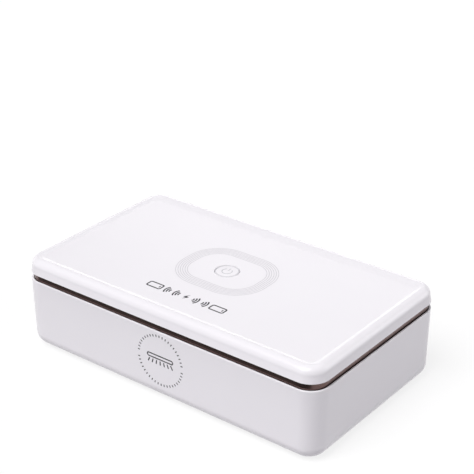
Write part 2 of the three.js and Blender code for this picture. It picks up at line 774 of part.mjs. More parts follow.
const sideNames = ['left', 'right'];
magnetPlaces.forEach((x, side) => {
  const keeper = piece(`base_magnet_${sideNames[side]}`, barMagnet(), 'steel');
  baseGroup.add(placed(keeper, x, -magnetY, magnetMiddle));
});
baseGroup.add(placed(piece('sensor_magnet', barMagnet(), 'steel'), sensorX, magnetY, magnetMiddle));

lidGroup.add(piece('lid_shell', lidShell(), 'white'));
lidGroup.add(piece('trim_frame', trimFrame(), 'bronze'));
lidGroup.add(piece('lid_liner', lidLiner(), 'grey'));
lidGroup.add(piece('catch_block', catchHolder(), 'grey'));
lidGroup.add(piece('hinge_cover', hingeCover(), 'grey'));
lidGroup.add(piece('hinge_arm', hingeArm(), 'steel'));
lidGroup.add(placed(piece('lid_sensor', lidSensor(), 'smoked'), sensorX, sensorY, 0));

const lidMagnetBottom = catchFloor + catchBlock.floor + gap;
const lidMagnetY = catchFront + catchBlock.wall + gap + magnet.lidWidth / 2;
magnetPlaces.forEach((x, side) => {
  const bar = new THREE.BoxGeometry(magnet.length, magnet.lidWidth, magnet.lidHeight);
  const keeper = piece(`lid_magnet_${sideNames[side]}`, bar, 'steel');
  lidGroup.add(placed(keeper, x, lidMagnetY, lidMagnetBottom + magnet.lidHeight / 2));
});

const hingeScrewSeat = pivot.z - arm.thick / 2 - gap;
const hingeShank = arm.thick + gap * 2 + screwBoss.bite;
hingeHoles.forEach(([x, y], side) => {
  const screw = piece(`hinge_screw_${sideNames[side]}`, screwShape(baseScrew, hingeShank), 'steel');
  lidGroup.add(placed(screw, x, y, hingeScrewSeat));
});

const boardScrewSeat = boardUnder - gap;
const boardShank = board.thick + gap * 2 + screwBoss.bite;
boardHoles.forEach(([x, y], corner) => {
  const screw = piece(`board_screw_${cornerNames[corner]}`, screwShape(boardScrew, boardShank), 'steel');
  lidGroup.add(placed(screw, x, y, boardScrewSeat));
});
stripHoles.forEach(([x, y], corner) => {
  const screw = piece(`strip_screw_${cornerNames[corner]}`, screwShape(boardScrew, boardShank), 'steel');
  lidGroup.add(placed(screw, x, y, boardScrewSeat));
});

lidGroup.add(piece('charging_coil', chargingCoil(), 'copper'));
lidGroup.add(piece('ferrite_sheet', ferriteSheet(), 'ferrite'));
lidGroup.add(piece('main_board', mainBoard(), 'laminate'));
sides.forEach((side, at) => {
  lidGroup.add(piece(`lamp_strip_${sideNames[at]}`, lampStrip(side * lampX), 'laminate'));
  lidGroup.add(piece(`ribbon_${sideNames[at]}`, ribbonCable(side), 'film'));
});
lampPlaces().forEach(({ name, x, y }) => {
  lidGroup.add(placed(piece(name, uvLamp(), 'ceramic'), x, y, boardUnder - gap));
});
lidGroup.add(piece('key_switch', tactSwitch(), 'smoked'));
lidGroup.add(piece('charging_port', chargingPort(), 'steel'));

buttonGroup.add(piece('power_button', powerButton(), 'white'));

const group = new THREE.Group();
group.add(baseGroup, lidGroup, buttonGroup);

export default group;
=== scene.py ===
# %% [markdown]
# This is a UV sanitizer box for phones, closed. It has a tall white base, a white lid with a
# wireless charging pad printed on it, and a dark copper band between the two. The packed
# construction gives every place and size. This lesson builds the finished surfaces round it:
# mould radii, gloss, plating, print and light.

# %% Load the construction
import json

import bmesh
import bpy
import numpy as np
from mathutils import Matrix, Vector

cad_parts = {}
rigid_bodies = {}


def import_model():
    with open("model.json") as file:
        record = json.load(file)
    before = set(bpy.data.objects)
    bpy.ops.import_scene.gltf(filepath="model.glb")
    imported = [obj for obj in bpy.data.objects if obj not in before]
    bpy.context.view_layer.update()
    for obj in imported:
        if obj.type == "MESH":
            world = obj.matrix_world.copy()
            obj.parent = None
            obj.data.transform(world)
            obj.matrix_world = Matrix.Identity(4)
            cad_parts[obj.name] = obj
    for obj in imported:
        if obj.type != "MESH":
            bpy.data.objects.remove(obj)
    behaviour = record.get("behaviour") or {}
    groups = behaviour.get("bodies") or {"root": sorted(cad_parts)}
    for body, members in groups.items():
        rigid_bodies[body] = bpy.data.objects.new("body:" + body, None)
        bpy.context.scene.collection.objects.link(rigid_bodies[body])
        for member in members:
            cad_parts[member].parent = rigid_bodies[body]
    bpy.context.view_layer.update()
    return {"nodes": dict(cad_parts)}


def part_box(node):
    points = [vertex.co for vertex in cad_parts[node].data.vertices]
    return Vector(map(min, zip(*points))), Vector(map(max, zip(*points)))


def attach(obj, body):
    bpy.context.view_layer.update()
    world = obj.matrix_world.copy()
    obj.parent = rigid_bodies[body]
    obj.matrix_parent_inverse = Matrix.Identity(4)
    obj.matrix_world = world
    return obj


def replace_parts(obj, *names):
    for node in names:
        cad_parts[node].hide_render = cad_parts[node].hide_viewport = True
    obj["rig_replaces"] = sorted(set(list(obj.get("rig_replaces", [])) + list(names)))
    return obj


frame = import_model()

# %% [markdown]
# A product designer thinks in millimetres and Blender in metres, so all the shapes here are
# worked out in millimetres and scaled once, when a mesh is made. The levels that pieces share
# are read from the construction: the lid's edge and crest, the hinge line, the base's rim.
# They could be typed in, but then a change to the construction would not reach this file.

# %% Read the shared levels
MM = 0.001


def box_mm(node):
    """Lowest and highest corner of a construction piece, in millimetres."""
    low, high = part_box(node)
    return np.array(low) / MM, np.array(high) / MM


def middle_mm(node):
    """The point half way between a piece's lowest and highest corner."""
    return np.add(*box_mm(node)) / 2


def spot(node):
    """Where a piece stands, seen from above."""
    return middle_mm(node)[:2]


GAP = 0.3
HALF = box_mm("lid_shell")[1][:2]
LID_EDGE = box_mm("lid_liner")[0][2]
CREST = box_mm("lid_shell")[1][2]
PLATEAU = box_mm("power_button")[1][2]
CEILING = box_mm("charging_coil")[1][2] + GAP
PIVOT = middle_mm("hinge_pin")
RIM = 2 * PIVOT[2] - LID_EDGE
UNDERSIDE = box_mm("base_shell")[0][2]
print(f"rim {RIM:.2f}, lid edge {LID_EDGE:.2f}, flat top {PLATEAU:.2f}, crest {CREST:.2f} mm")

# %% [markdown]
# The camera comes early, because it decides which edges are seen. It stands at the right front
# corner, about 0.8 m away, looking down by 30 degrees through a long lens. It could be placed by
# eye. Here its angles, distance and lens were solved once from the box's outline, and it is
# aimed so that the middle of the box falls on one named pixel of the square picture.

# %% Place the camera
PICTURE = 474
FOCAL_PIXELS = 1361.6
AZIMUTH, ELEVATION, ROLL = np.radians([38.45, 29.76, 0.335])
DISTANCE = 0.8326
BOX_MIDDLE = Vector((0, 0, 0.03086))
MIDDLE_PIXEL = (227.29, 313.66)
SENSOR = 36.0

backward = Vector((
    np.sin(AZIMUTH) * np.cos(ELEVATION),
    -np.cos(AZIMUTH) * np.cos(ELEVATION),
    np.sin(ELEVATION),
))
rightward = Vector((np.cos(AZIMUTH), np.sin(AZIMUTH), 0))
facing = Matrix((rightward, backward.cross(rightward), backward))
aim = Vector((
    (MIDDLE_PIXEL[0] - PICTURE / 2) / FOCAL_PIXELS,
    (PICTURE / 2 - MIDDLE_PIXEL[1]) / FOCAL_PIXELS,
    -1,
))
swing = Vector((0, 0, -1)).rotation_difference(aim).to_matrix()
world_to_camera = swing @ Matrix.Rotation(ROLL, 3, "Z") @ facing

camera_data = bpy.data.cameras.new("camera")
camera_data.sensor_width = SENSOR
camera_data.lens = FOCAL_PIXELS / PICTURE * SENSOR
camera = bpy.data.objects.new("camera", camera_data)
eye = BOX_MIDDLE + DISTANCE * backward
camera.matrix_world = Matrix.Translation(eye) @ world_to_camera.transposed().to_4x4()
bpy.context.scene.collection.objects.link(camera)
bpy.context.scene.camera = camera
print(f"camera: lens {camera_data.lens:.1f} mm at {tuple(round(value, 3) for value in eye)} m")

# %% [markdown]
# Every moulded piece of this box follows the same plan: a rounded rectangle drawn in from the
# outer walls by some inset. So a shape here is a grid of points. One row is the plan at one
# inset and height, and the rows follow the piece's section like the ribs of a boat. Subdivision
# surfaces could make such shells too, but a grid gives the exact radii that a mould has.

# %% Draw a plan as rows of points
CORNER = 12.7
ARC = 20
RUN = 11


def spokes(turn):
    """Unit vectors, (cos, sin) of the given angles."""
    return np.stack([np.cos(turn), np.sin(turn)], -1)


def outline(inset, rear=None, half=HALF, corner=CORNER, centre=(0, 0), arc=ARC, run=RUN):
    """Rounded rectangles, one row of points for each inset. Each corner is a quarter circle of
    radius corner - inset about its own centre, and each side is spaced as 1 - cos, closer near
    the corners. The rear side may have an inset of its own."""
    inset = np.atleast_1d(np.asarray(inset, float))
    rear = inset if rear is None else np.broadcast_to(rear, inset.shape)
    radius = np.maximum(corner - inset, corner / 20)
    right = half[0] - inset - radius
    front = inset + radius - half[1]
    back = half[1] - rear - radius
    middles = np.stack([
        np.stack([right, -right, -right, right]),
        np.stack([back, back, front, front]),
    ], -1)
    turn = (np.arange(4)[:, None] + np.linspace(0, 1, arc + 1)) * np.pi / 2
    arcs = middles[:, :, None] + radius[:, None, None] * spokes(turn)[:, None]
    share = (1 - np.cos(np.pi * np.arange(1, run + 1) / (run + 1))) / 2
    starts = arcs[:, :, -1:]
    ends = np.roll(arcs[:, :, :1], -1, axis=0)
    runs = starts + (ends - starts) * share[:, None]
    rows = np.concatenate([arcs, runs], 2)
    return rows.transpose(1, 0, 2, 3).reshape(len(inset), -1, 2) + np.asarray(centre)


def at_heights(plans, heights):
    """Gives each row of a plan its height."""
    heights = np.broadcast_to(np.reshape(heights, (-1, 1, 1)), plans.shape[:2] + (1,))
    return np.concatenate([plans, heights], -1)


print(f"plan: {outline(0).shape[1]} points round a box of {HALF * 2} mm")

# %% [markdown]
# A section of a moulded piece is a line of corners, each with a small radius. Sharp corners look
# like a computer drawing, because real edges catch light. The Bevel modifier could round them
# afterwards. Rounding the section first is exact, and every arc gets as many steps as its size
# needs. A point just beyond each arc keeps the flat beside it flat under smooth shading.

# %% Round the corners of a section
ARC_STEPS = 4
STEPS_PER_MM = 2.4
SUPPORT = 0.3


def rounded(corners, closed=False):
    """A section through corners given as (inset, height, radius). Each corner becomes an arc that
    touches its two sides at radius / tan(half the angle between them) from the corner."""
    corners = np.array([(*corner, 0)[:3] for corner in corners], float)
    points, radii = corners[:, :2], corners[:, 2]
    before = np.roll(points, 1, 0) - points
    after = np.roll(points, -1, 0) - points
    before_length = np.linalg.norm(before, axis=1)
    after_length = np.linalg.norm(after, axis=1)
    before /= before_length[:, None]
    after /= after_length[:, None]
    half_angle = np.arccos(np.clip((before * after).sum(1), -1, 1)) / 2
    reach = radii / np.tan(half_angle)
    if not closed:
        reach[[0, -1]] = 0
    free_before = before_length - reach - np.roll(reach, 1)
    free_after = after_length - reach - np.roll(reach, -1)
    path = []
    for at in range(len(points)):
        if reach[at] == 0:
            path.append(points[at:at + 1])
            continue
        start = points[at] + before[at] * reach[at]
        end = points[at] + after[at] * reach[at]
        bisector = before[at] + after[at]
        bisector /= np.linalg.norm(bisector)
        centre = points[at] + bisector * radii[at] / np.sin(half_angle[at])
        first = np.arctan2(*(start - centre)[::-1])
        last = np.arctan2(*(end - centre)[::-1])
        sweep = (last - first + np.pi) % (2 * np.pi) - np.pi
        steps = int(np.ceil(ARC_STEPS + STEPS_PER_MM * radii[at]))
        angle = first + sweep * np.linspace(0, 1, steps + 1)
        path.append([start + before[at] * min(SUPPORT, free_before[at] / 3)])
        path.append(centre + radii[at] * spokes(angle))
        path.append([end + after[at] * min(SUPPORT, free_after[at] / 3)])
    return np.concatenate(path)


DRAFT = 0.8


def lean(height):
    """How far the base draws in towards its foot: it grows evenly from nothing at the rim."""
    return DRAFT * (RIM - height) / (RIM - UNDERSIDE)


def walls(section, leaning=False, **plan):
    """Rows of a moulded piece: the plan at each point of its section, leaning with the base's
    draft if asked."""
    inset = section[:, 0] + (lean(section[:, 1]) if leaning else 0)
    return at_heights(outline(inset, **plan), section[:, 1])


print(f"one corner of 1 mm radius takes {len(rounded([(0, 0), (0, 9, 1), (9, 9)])) - 2} points")

# %% [markdown]
# Two more ways of making a grid are enough for the small pieces. A turned piece carries a
# section round an upright axis, as a lathe does. A loft sets one closed outline at several
# places along an axis. A carried piece is a loft that draws in a little at both ends, as a
# broken edge.

# %% Turn and carry sections


def patch(points, looped=False, capped=False, finish=0):
    """One closed skin: a grid whose rows run round, with flat caps or with its last row joined
    to its first, and the number of its finish."""
    return {"points": np.asarray(points, float), "looped": looped, "capped": capped, "finish": finish}


def wheel(steps):
    """Unit vectors spread evenly all the way round."""
    return spokes(np.arange(steps) * 2 * np.pi / steps)


def turned(section, centre=(0, 0), steps=48, finish=0):
    """Each point (radius, height) goes round as radius * cos, radius * sin, height."""
    section = np.asarray(section, float)
    plans = section[:, 0, None, None] * wheel(steps) + np.asarray(centre)
    return patch(at_heights(plans, section[:, 1]), finish=finish)


def rod(radius, low, high, centre, steps=48):
    """An upright cylinder."""
    return turned([(0, low), (radius, low), (radius, high), (0, high)], centre, steps)


def loft(section, places, insets, axis=2, finish=0):
    """section(inset) gives an outline across the axis. It stands at each place along the axis,
    drawn in by the inset for that place."""
    plans = np.stack([section(inset) for inset in insets])
    grid = np.insert(plans, axis, np.array(places)[:, None], axis=2)
    return patch(grid, capped=True, finish=finish)


def carried(section, start, end, ease=0.2, axis=2, finish=0):
    """One outline carried from start to end, drawn in by the ease at both ends."""
    places = [start, start + ease, end - ease, end] if ease else [start, end]
    insets = [ease, 0, 0, ease] if ease else [0, 0]
    return loft(section, places, insets, axis, finish)


def circle(radius, centre, steps=48):
    """An outline for carried(): a circle about a point."""
    return lambda inset: np.asarray(centre) + (radius - inset) * wheel(steps)


def slab(half, corner, centre=(0, 0), arc=6):
    """An outline for carried(): a small rounded rectangle."""
    return lambda inset: outline(inset, half=half, corner=corner, centre=centre, arc=arc, run=1)[0]


def block(low, high, ease=0.0, finish=0):
    """A block between two corners, with its top and bottom edges broken by the ease."""
    low, high = np.array(low, float), np.array(high, float)

    def section(inset):
        near, far = low[:2] + inset, high[:2] - inset
        return np.array([near, [far[0], near[1]], far, [near[0], far[1]]])

    return carried(section, low[2], high[2], ease, finish=finish)


print("grids: outline, turned, rod, loft, carried, block")

# %% [markdown]
# A grid becomes a mesh by numbering its points and joining each to its neighbours with
# four-sided faces. Poles and seams bring points that lie on each other, so these are merged
# first, and only then are the faces turned outwards, because a face next to a seam has to know
# its neighbour. Edges sharper than 30 degrees stay crisp, and the rest is shaded smooth. What is
# joined or cut away runs about a millimetre past the face it meets, because a Boolean of two
# faces in one plane can go wrong.

# %% Make meshes, join them and cut them
MERGE = 1e-6
CRISP = np.radians(30)
# How far a tool runs past the face it meets.
PAST = 1.0


def tidy(obj):
    """Merges doubles, turns faces outwards and sets smooth shading with crisp edges."""
    mesh = obj.data
    work = bmesh.new()
    work.from_mesh(mesh)
    bmesh.ops.remove_doubles(work, verts=work.verts, dist=MERGE)
    bmesh.ops.recalc_face_normals(work, faces=work.faces)
    work.to_mesh(mesh)
    work.free()
    mesh.polygons.foreach_set("use_smooth", np.ones(len(mesh.polygons), bool))
    mesh.set_sharp_from_angle(angle=CRISP)
    mesh.update()


def solids(name, *patches):
    """One object from closed skins. Row r, column c of a grid is point r * columns + c, and each
    face joins (r, c), (r, c + 1), (r + 1, c + 1) and (r + 1, c)."""
    points, faces, finishes = [], [], []
    count = 0
    for skin in patches:
        rows, columns = skin["points"].shape[:2]
        number = count + np.arange(rows * columns).reshape(rows, columns)
        number = np.hstack([number, number[:, :1]])
        if skin["looped"]:
            number = np.vstack([number, number[:1]])
        quads = np.stack([number[:-1, :-1], number[:-1, 1:], number[1:, 1:], number[1:, :-1]], -1)
        made = quads.reshape(-1, 4).tolist()
        if skin["capped"]:
            made += [number[0, :-1].tolist(), number[-1, :-1].tolist()]
        points.append(skin["points"].reshape(-1, 3) * MM)
        faces += made
        finishes += [skin["finish"]] * len(made)
        count += rows * columns
    mesh = bpy.data.meshes.new(name)
    mesh.from_pydata(np.concatenate(points).tolist(), [], faces)
    mesh.polygons.foreach_set("material_index", finishes)
    obj = bpy.data.objects.new(name, mesh)
    bpy.context.scene.collection.objects.link(obj)
    tidy(obj)
    return obj


def combine(target, added=(), removed=()):
    """Joins skins to a solid, then cuts skins from it, with exact Booleans that are applied. Each
    skin is a step of its own, so skins may overlap."""
    tools = []
    for operation, skins in (("UNION", added), ("DIFFERENCE", removed)):
        for skin in skins:
            tool = solids("tool", *(skin if isinstance(skin, list) else [skin]))
            step = target.modifiers.new("step", "BOOLEAN")
            step.operation, step.solver, step.object = operation, "EXACT", tool
            tools.append(tool)
    graph = bpy.context.evaluated_depsgraph_get()
    mesh = bpy.data.meshes.new_from_object(target.evaluated_get(graph))
    target.modifiers.clear()
    target.data = mesh
    for tool in tools:
        bpy.data.objects.remove(tool)
    tidy(target)
    return target


print("mesh helpers: tidy, solids, combine")

# %% [markdown]
# A finish is a Principled shader with patterns behind a few of its sockets. Patterns are sums
# and products, and node trees for those are hard to read. So one small class wraps a socket and
# lets Python's own signs add the Math nodes. Everything else comes from its node method.

# %% Wrap shader sockets in Python arithmetic


class Field:
    """One output socket of a material's nodes. Arithmetic on it adds Math nodes."""

    def __init__(self, tree, socket=None):
        self.tree = tree
        self.socket = socket

    def node(self, kind, settings=None, values=None, output=0):
        """Adds a node: first its settings, then numbers or links for its sockets."""
        node = self.tree.nodes.new("ShaderNode" + kind)
        for name, value in (settings or {}).items():
            setattr(node, name, value)
        for place, value in (values or {}).items():
            if isinstance(value, Field):
                self.tree.links.new(value.socket, node.inputs[place])
            else:
                node.inputs[place].default_value = value
        return Field(self.tree, node.outputs[output])

    def math(self, operation, *values):
        """A Math node on up to three values."""
        return self.node("Math", {"operation": operation}, dict(enumerate(values)))

    def __add__(self, other):
        return self.math("ADD", self, other)

    def __mul__(self, other):
        return self.math("MULTIPLY", self, other)

    __radd__ = __add__
    __rmul__ = __mul__

    def feed(self, shader, socket):
        """Links this field to a socket of the shader."""
        self.tree.links.new(self.socket, shader.inputs[socket])


print("Field: + and * add Math nodes, with a number on either side")

# %% [markdown]
# Every finish here varies in three ways: its tone moves between two colours, its roughness
# spreads about a middle, and its surface is bumpy by some depth. Lumps are given to the
# millimetre and depths in millimetres, so a grain can be compared with the real one.

# %% Add helpers for the finishes
# The Mix node has sockets for every kind of value. These are the ones for colours.
MIX_FACTOR, MIX_A, MIX_B, MIX_COLOUR = 0, 6, 7, 2


def toned(shader, factor, first, second):
    """Moves the shader's colour between two by a factor."""
    values = {MIX_FACTOR: factor, MIX_A: (*first, 1), MIX_B: (*second, 1)}
    factor.node("Mix", {"data_type": "RGBA"}, values, MIX_COLOUR).feed(shader, "Base Color")


def finish(name, colour, roughness, metallic=0.0, **sockets):
    """A new material with its plain values set on the shader's own sockets. Returns it with its
    shader and a Field that holds the object's coordinates in metres."""
    material = bpy.data.materials.new(name)
    material.use_nodes = True
    tree = material.node_tree
    shader = tree.nodes["Principled BSDF"]
    plain = {"Base Color": (*colour, 1), "Roughness": roughness, "Metallic": metallic}
    plain.update({socket.replace("_", " ").title(): value for socket, value in sockets.items()})
    for socket, value in plain.items():
        shader.inputs[socket].default_value = value
    place = Field(tree).node("TexCoord", output=3)
    return material, shader, place


def noise(place, per_mm, detail=2.0, stretch=(1, 1, 1)):
    """Cloudy noise with so many lumps to the millimetre. A stretch under 1 draws them out."""
    scaled = place.node("Mapping", {}, {"Vector": place, "Scale": stretch})
    return place.node("TexNoise", {}, {"Vector": scaled, "Scale": per_mm / MM, "Detail": detail})


def shaded(colour, share):
    """A colour with its channels brought down to a share."""
    return tuple(channel * share for channel in colour)


def glossed(shader, factor, roughness, span):
    """Spreads the roughness evenly about its middle by a factor from 0 to 1."""
    (factor * span + (roughness - span / 2)).feed(shader, "Roughness")


def bumped(shader, height, depth_mm):
    """A Bump node of so many millimetres in front of the shader."""
    values = {"Strength": 1.0, "Distance": depth_mm * MM, "Height": height}
    height.node("Bump", {}, values).feed(shader, "Normal")


print("finish helpers: toned, finish, noise, shaded, glossed, bumped")

# %% [markdown]
# The shells are glossy white ABS with a faint violet cast. Its gloss is never a perfect mirror:
# the mould leaves a very shallow waviness, and handling leaves patches that are slightly less
# shiny. The inner pieces are the same plastic in grey with a fine spark-eroded grain, which
# scatters the light more. Both need only noise at the right scale, millimetres and less.

# %% Mix the plastics
WHITE, WHITE_SHADED, WHITE_GLOSS = (0.895, 0.878, 0.905), (0.88, 0.86, 0.893), 0.24


def white_gloss():
    """Gloss white: waves of a few millimetres a few microns deep, and roughness that drifts."""
    material, shader, place = finish("white_gloss_abs", WHITE, WHITE_GLOSS)
    toned(shader, noise(place, per_mm=0.03, detail=3.0), WHITE, WHITE_SHADED)
    glossed(shader, noise(place, per_mm=0.08, detail=4.0), WHITE_GLOSS, span=0.1)
    bumped(shader, noise(place, per_mm=0.35), depth_mm=0.006)
    return material


def grey_satin(name, colour, roughness):
    """Eroded grain: lumps of a tenth of a millimetre, and soft patches of tone."""
    material, shader, place = finish(name, colour, roughness)
    toned(shader, noise(place, per_mm=0.05, detail=3.0), colour, shaded(colour, 0.94))
    glossed(shader, noise(place, per_mm=0.4), roughness, span=0.12)
    bumped(shader, noise(place, per_mm=5.0), depth_mm=0.012)
    return material


WHITE_ABS = white_gloss()
TRAY_GREY = grey_satin("tray_grey_abs", (0.58, 0.575, 0.59), roughness=0.42)
LINER_GREY = grey_satin("liner_grey_abs", (0.49, 0.49, 0.505), roughness=0.3)
print("plastics:", WHITE_ABS.name, TRAY_GREY.name, LINER_GREY.name)

# %% [markdown]
# The band between lid and base is plated dark copper over plastic. Plating is a metal, so its
# colour is in its reflections. It is nearly black in front, where it mirrors a dark card, and
# brown where it mirrors the white floor. Fine lines along its length come from polishing.
# The other metals are treated the same way, with lines or spots at their own scale.

# %% Plate and draw the metals


def polished(name, colour, worn, roughness, stretch=(1, 1, 1), per_mm=2.0, depth=0.002):
    """A metal: tone between two colours by noise, and lines where the noise is drawn out."""
    material, shader, place = finish(name, colour, roughness, 1.0)
    lines = noise(place, per_mm, 3.0, stretch)
    toned(shader, lines, colour, worn)
    glossed(shader, lines, roughness, span=0.16)
    bumped(shader, lines, depth)
    return material


LENGTHWISE = (0.05, 0.05, 1.0)
COPPER, COPPER_WORN = (0.155, 0.1, 0.092), (0.112, 0.074, 0.069)
# Each has a name, its colour, the colour of its worn places and a roughness.
COPPER_BAND = polished("dark_copper_plating", COPPER, COPPER_WORN, 0.19, LENGTHWISE)
STEEL = polished("zinc_plated_steel", (0.62, 0.63, 0.65), (0.5, 0.51, 0.53), 0.34)
NICKEL = polished("nickel_plated_magnet", (0.7, 0.69, 0.66), (0.6, 0.59, 0.57), 0.28, per_mm=0.8)
GOLD = polished("gold_plated_contact", (0.83, 0.6, 0.24), (0.78, 0.54, 0.2), 0.25)
COPPER_WIRE = polished("enamelled_copper_wire", (0.62, 0.26, 0.12), (0.5, 0.2, 0.09), 0.3, per_mm=1.2)
print("metals:", COPPER_BAND.name, STEEL.name, NICKEL.name, GOLD.name, COPPER_WIRE.name)

# %% [markdown]
# What is left is small: rubber feet, the dark ferrite sheet that shields the charging coil,
# white circuit boards with a printed weave, thin flat cables, lamp bodies of ceramic and their
# dark quartz windows, and the inks. Each has a colour, a gloss and one pattern of its own.

# %% Mix the small finishes


def grained(name, colour, darker_share, roughness, per_mm, depth, **sockets):
    """Any dull or glassy stuff with one grain that moves its tone, and its surface by a depth."""
    material, shader, place = finish(name, colour, roughness, **sockets)
    grain = noise(place, per_mm, 3.0)
    toned(shader, grain, colour, shaded(colour, darker_share))
    if depth:
        bumped(shader, grain, depth)
    return material


WEAVE = 0.7
WAVE_NODE_RATE = 20


def woven_board(colour=(0.78, 0.79, 0.79), worn=(0.71, 0.73, 0.72)):
    """White solder mask over glass cloth: two crossing sets of soft ridges. The wave node turns
    by 20 radians for each unit of its scale, so the scale follows from the weave's pitch."""
    material, shader, place = finish("white_circuit_board", colour, roughness=0.38)
    bands = 2 * np.pi / (WAVE_NODE_RATE * WEAVE * MM)
    along, across = (
        place.node("TexWave", {"bands_direction": way}, {"Vector": place, "Scale": bands})
        for way in ("X", "Y")
    )
    toned(shader, noise(place, per_mm=0.1), colour, worn)
    bumped(shader, along + across, depth_mm=0.004)
    return material


# Each has a name, a colour, the share of it in the dark grains, a roughness, lumps to the
# millimetre and their depth in millimetres.
RUBBER = grained("foot_rubber", (0.035, 0.035, 0.037), 0.7, 0.85, 3.0, 0.02)
FERRITE = grained("ferrite_sheet_grey", (0.03, 0.029, 0.032), 0.7, 0.7, 2.0, 0.01)
BOARD = woven_board()
FILM = grained("flat_cable_film", (0.68, 0.62, 0.5), 0.93, 0.4, 0.3, 0.002)
CERAMIC = grained("lamp_ceramic_white", (0.8, 0.78, 0.7), 0.95, 0.35, 4.0, 0.004)
QUARTZ = grained("dark_quartz_window", (0.035, 0.03, 0.06), 0.8, 0.08, 1.0, 0, coat_weight=0.5)
SMOKED = grained("smoked_window", (0.02, 0.02, 0.024), 0.8, 0.12, 1.0, 0)
SWITCH = grained("switch_black_plastic", (0.03, 0.03, 0.032), 0.8, 0.5, 3.0, 0.006)
DARK_INK = grained("dark_grey_ink", (0.03, 0.029, 0.036), 0.85, 0.5, 3.0, 0.003)
RING_INK = grained("pale_grey_ring_ink", (0.59, 0.575, 0.605), 0.95, 0.5, 3.0, 0.003)
# This ink also draws a ring of painted shade just inside the button's rim.
BUTTON_INK_AND_SHADE = grained("pale_grey_button_ink_and_painted_shade", (0.5, 0.5, 0.53), 0.95, 0.5, 3.0, 0.003)
print("small finishes: 11 of them, from", RUBBER.name, "to", BUTTON_INK_AND_SHADE.name)

# %% [markdown]
# A finished piece has to be told which body it rides on when the lid opens or the button goes
# down, what it is made of, and which piece of the construction it stands for, so that the two
# are not shown at once. One helper does this for all pieces and prints how large each came out.

# %% Tie a finished piece to the construction


def dress(obj, body, slot, finishes, *nodes):
    """Gives a finished piece its materials, its body and the construction pieces it stands for."""
    for material in finishes:
        obj.data.materials.append(material)
    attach(obj, body)
    if nodes:
        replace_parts(obj, *nodes)
    size = " x ".join(f"{length:.1f}" for length in np.ptp(obj.bound_box, axis=0) / MM)
    print(f"{obj.name}: {len(obj.data.polygons)} faces, {size} mm, rides on {body}")


# %% [markdown]
# The lower half is a shell with a tray hung in it. The two meet at a ledge under the rim, and
# both leave room for the screws, the feet and the hinge, so their shared sizes are set out first.

# %% Set out the base
WALL, FLOOR, SOFT_EDGE, LIP = 2.4, 2.4, 8.5, 1.2
FRAME_OUTER = LIP + GAP
TRAY_RIM = box_mm("base_tray")[1][2]
FLANGE, TRAY_LIFT, TRAY_BOSS = 1.3, 5.6, 3.0
LEDGE = TRAY_RIM - FLANGE - GAP
TRAY_UNDER = UNDERSIDE + FLOOR + TRAY_LIFT
SHANK, HEAD, HEAD_HEIGHT, WELL_EDGE = 1.0, 2.4, 1.2, 0.3
FEET = [f"foot_{row}_{side}" for row in ("front", "rear") for side in ("left", "right")]
TOWER, TOWER_ROOT = 4.2, 1.0
BARREL, WEB_HALF, PIN, LEAF = 2.1, 1.2, 0.9, 0.6
HINGE_HALF, KNUCKLE_LENGTH, LID_KNUCKLE, PLAY = 13.5, 8.0, 5.1, 0.4
print(f"ledge at {LEDGE:.2f}, tray's underside at {TRAY_UNDER:.2f} mm")

# %% [markdown]
# The shell carries three kinds of small forms: knuckles for the hinge pin on its rear wall,
# shelves with pockets for the magnets, and wells below for the feet and their screws. They could
# be drawn into the shell's own mesh. As skins of their own they can be joined and cut in turn.

# %% Shape knuckles, pockets and wells


def knuckle(start):
    """A barrel on a web as thick as the wall: an arc of the barrel's radius round the hinge line
    that ends where the web's two faces meet it."""
    web_end = LEDGE - PAST

    def section(inset):
        radius, half = BARREL - inset, WEB_HALF - inset
        lean_angle = np.arccos(half / radius)
        angle = np.linspace(-lean_angle, np.pi + lean_angle, 41)
        arc = PIVOT[1:] + radius * spokes(angle)
        foot = np.array([[PIVOT[1] - half, web_end], [PIVOT[1] + half, web_end]])
        return np.concatenate([arc, foot])

    return carried(section, start, start + KNUCKLE_LENGTH, ease=0.25, axis=0)


def magnet_pocket(node):
    """A shelf on the wall for one bar magnet, and the pocket cut into it."""
    low, high = box_mm(node)
    side = np.sign(low[1])
    outer = HALF[1] - WALL / 2 - lean(low[2])
    inner = np.abs([low[1], high[1]]).min()
    room, rib, shelf = GAP, 1.2, 1.2
    near, far = sorted([side * inner, side * outer])
    holder = block(
        [low[0] - room - rib, near, low[2] - room - shelf],
        [high[0] + room + rib, far, LEDGE - GAP], ease=0.15,
    )
    pocket_ends = [side * (inner - PAST), side * (HALF[1] - WALL - lean(LEDGE))]
    pocket_near, pocket_far = sorted(pocket_ends)
    pocket = block([low[0] - room, pocket_near, low[2] - room], [high[0] + room, pocket_far, LEDGE])
    return holder, pocket


def foot_well(node):
    """The well of a foot, the seat of its screw and the hole for the shank, as one turned tool."""
    low, high = box_mm(node)
    radius, well = (high[0] - low[0]) / 2 + GAP, high[2] + GAP
    seat = well + HEAD_HEIGHT + GAP
    return turned([
        (0, UNDERSIDE - PAST), (radius + WELL_EDGE, UNDERSIDE - PAST),
        (radius + WELL_EDGE, UNDERSIDE), (radius, UNDERSIDE + WELL_EDGE), (radius, well),
        (HEAD + GAP, well), (HEAD + GAP, seat), (SHANK + GAP, seat), (SHANK + GAP, TRAY_UNDER),
        (0, TRAY_UNDER),
    ], spot(node))


pockets = [magnet_pocket(node) for node in ("base_magnet_left", "base_magnet_right", "sensor_magnet")]
knuckles = [knuckle(-HINGE_HALF), knuckle(HINGE_HALF - KNUCKLE_LENGTH)]
wells = [foot_well(node) for node in FEET]
print(f"small forms: {len(knuckles)} knuckles, {len(pockets)} pockets, {len(wells)} wells")

# %% [markdown]
# The base shell is one moulding: walls 2.4 mm thick that draw in by 0.8 mm towards the foot, a
# large soft edge of 8.5 mm below, and a thin lip at the rim that the lid's band drops into. It
# could be a box with bevels. Carrying one rounded section round the plan gives the lip, the wall
# and both sides of the floor in a single skin. Four screw towers and the small forms are then
# joined to it or cut from it.

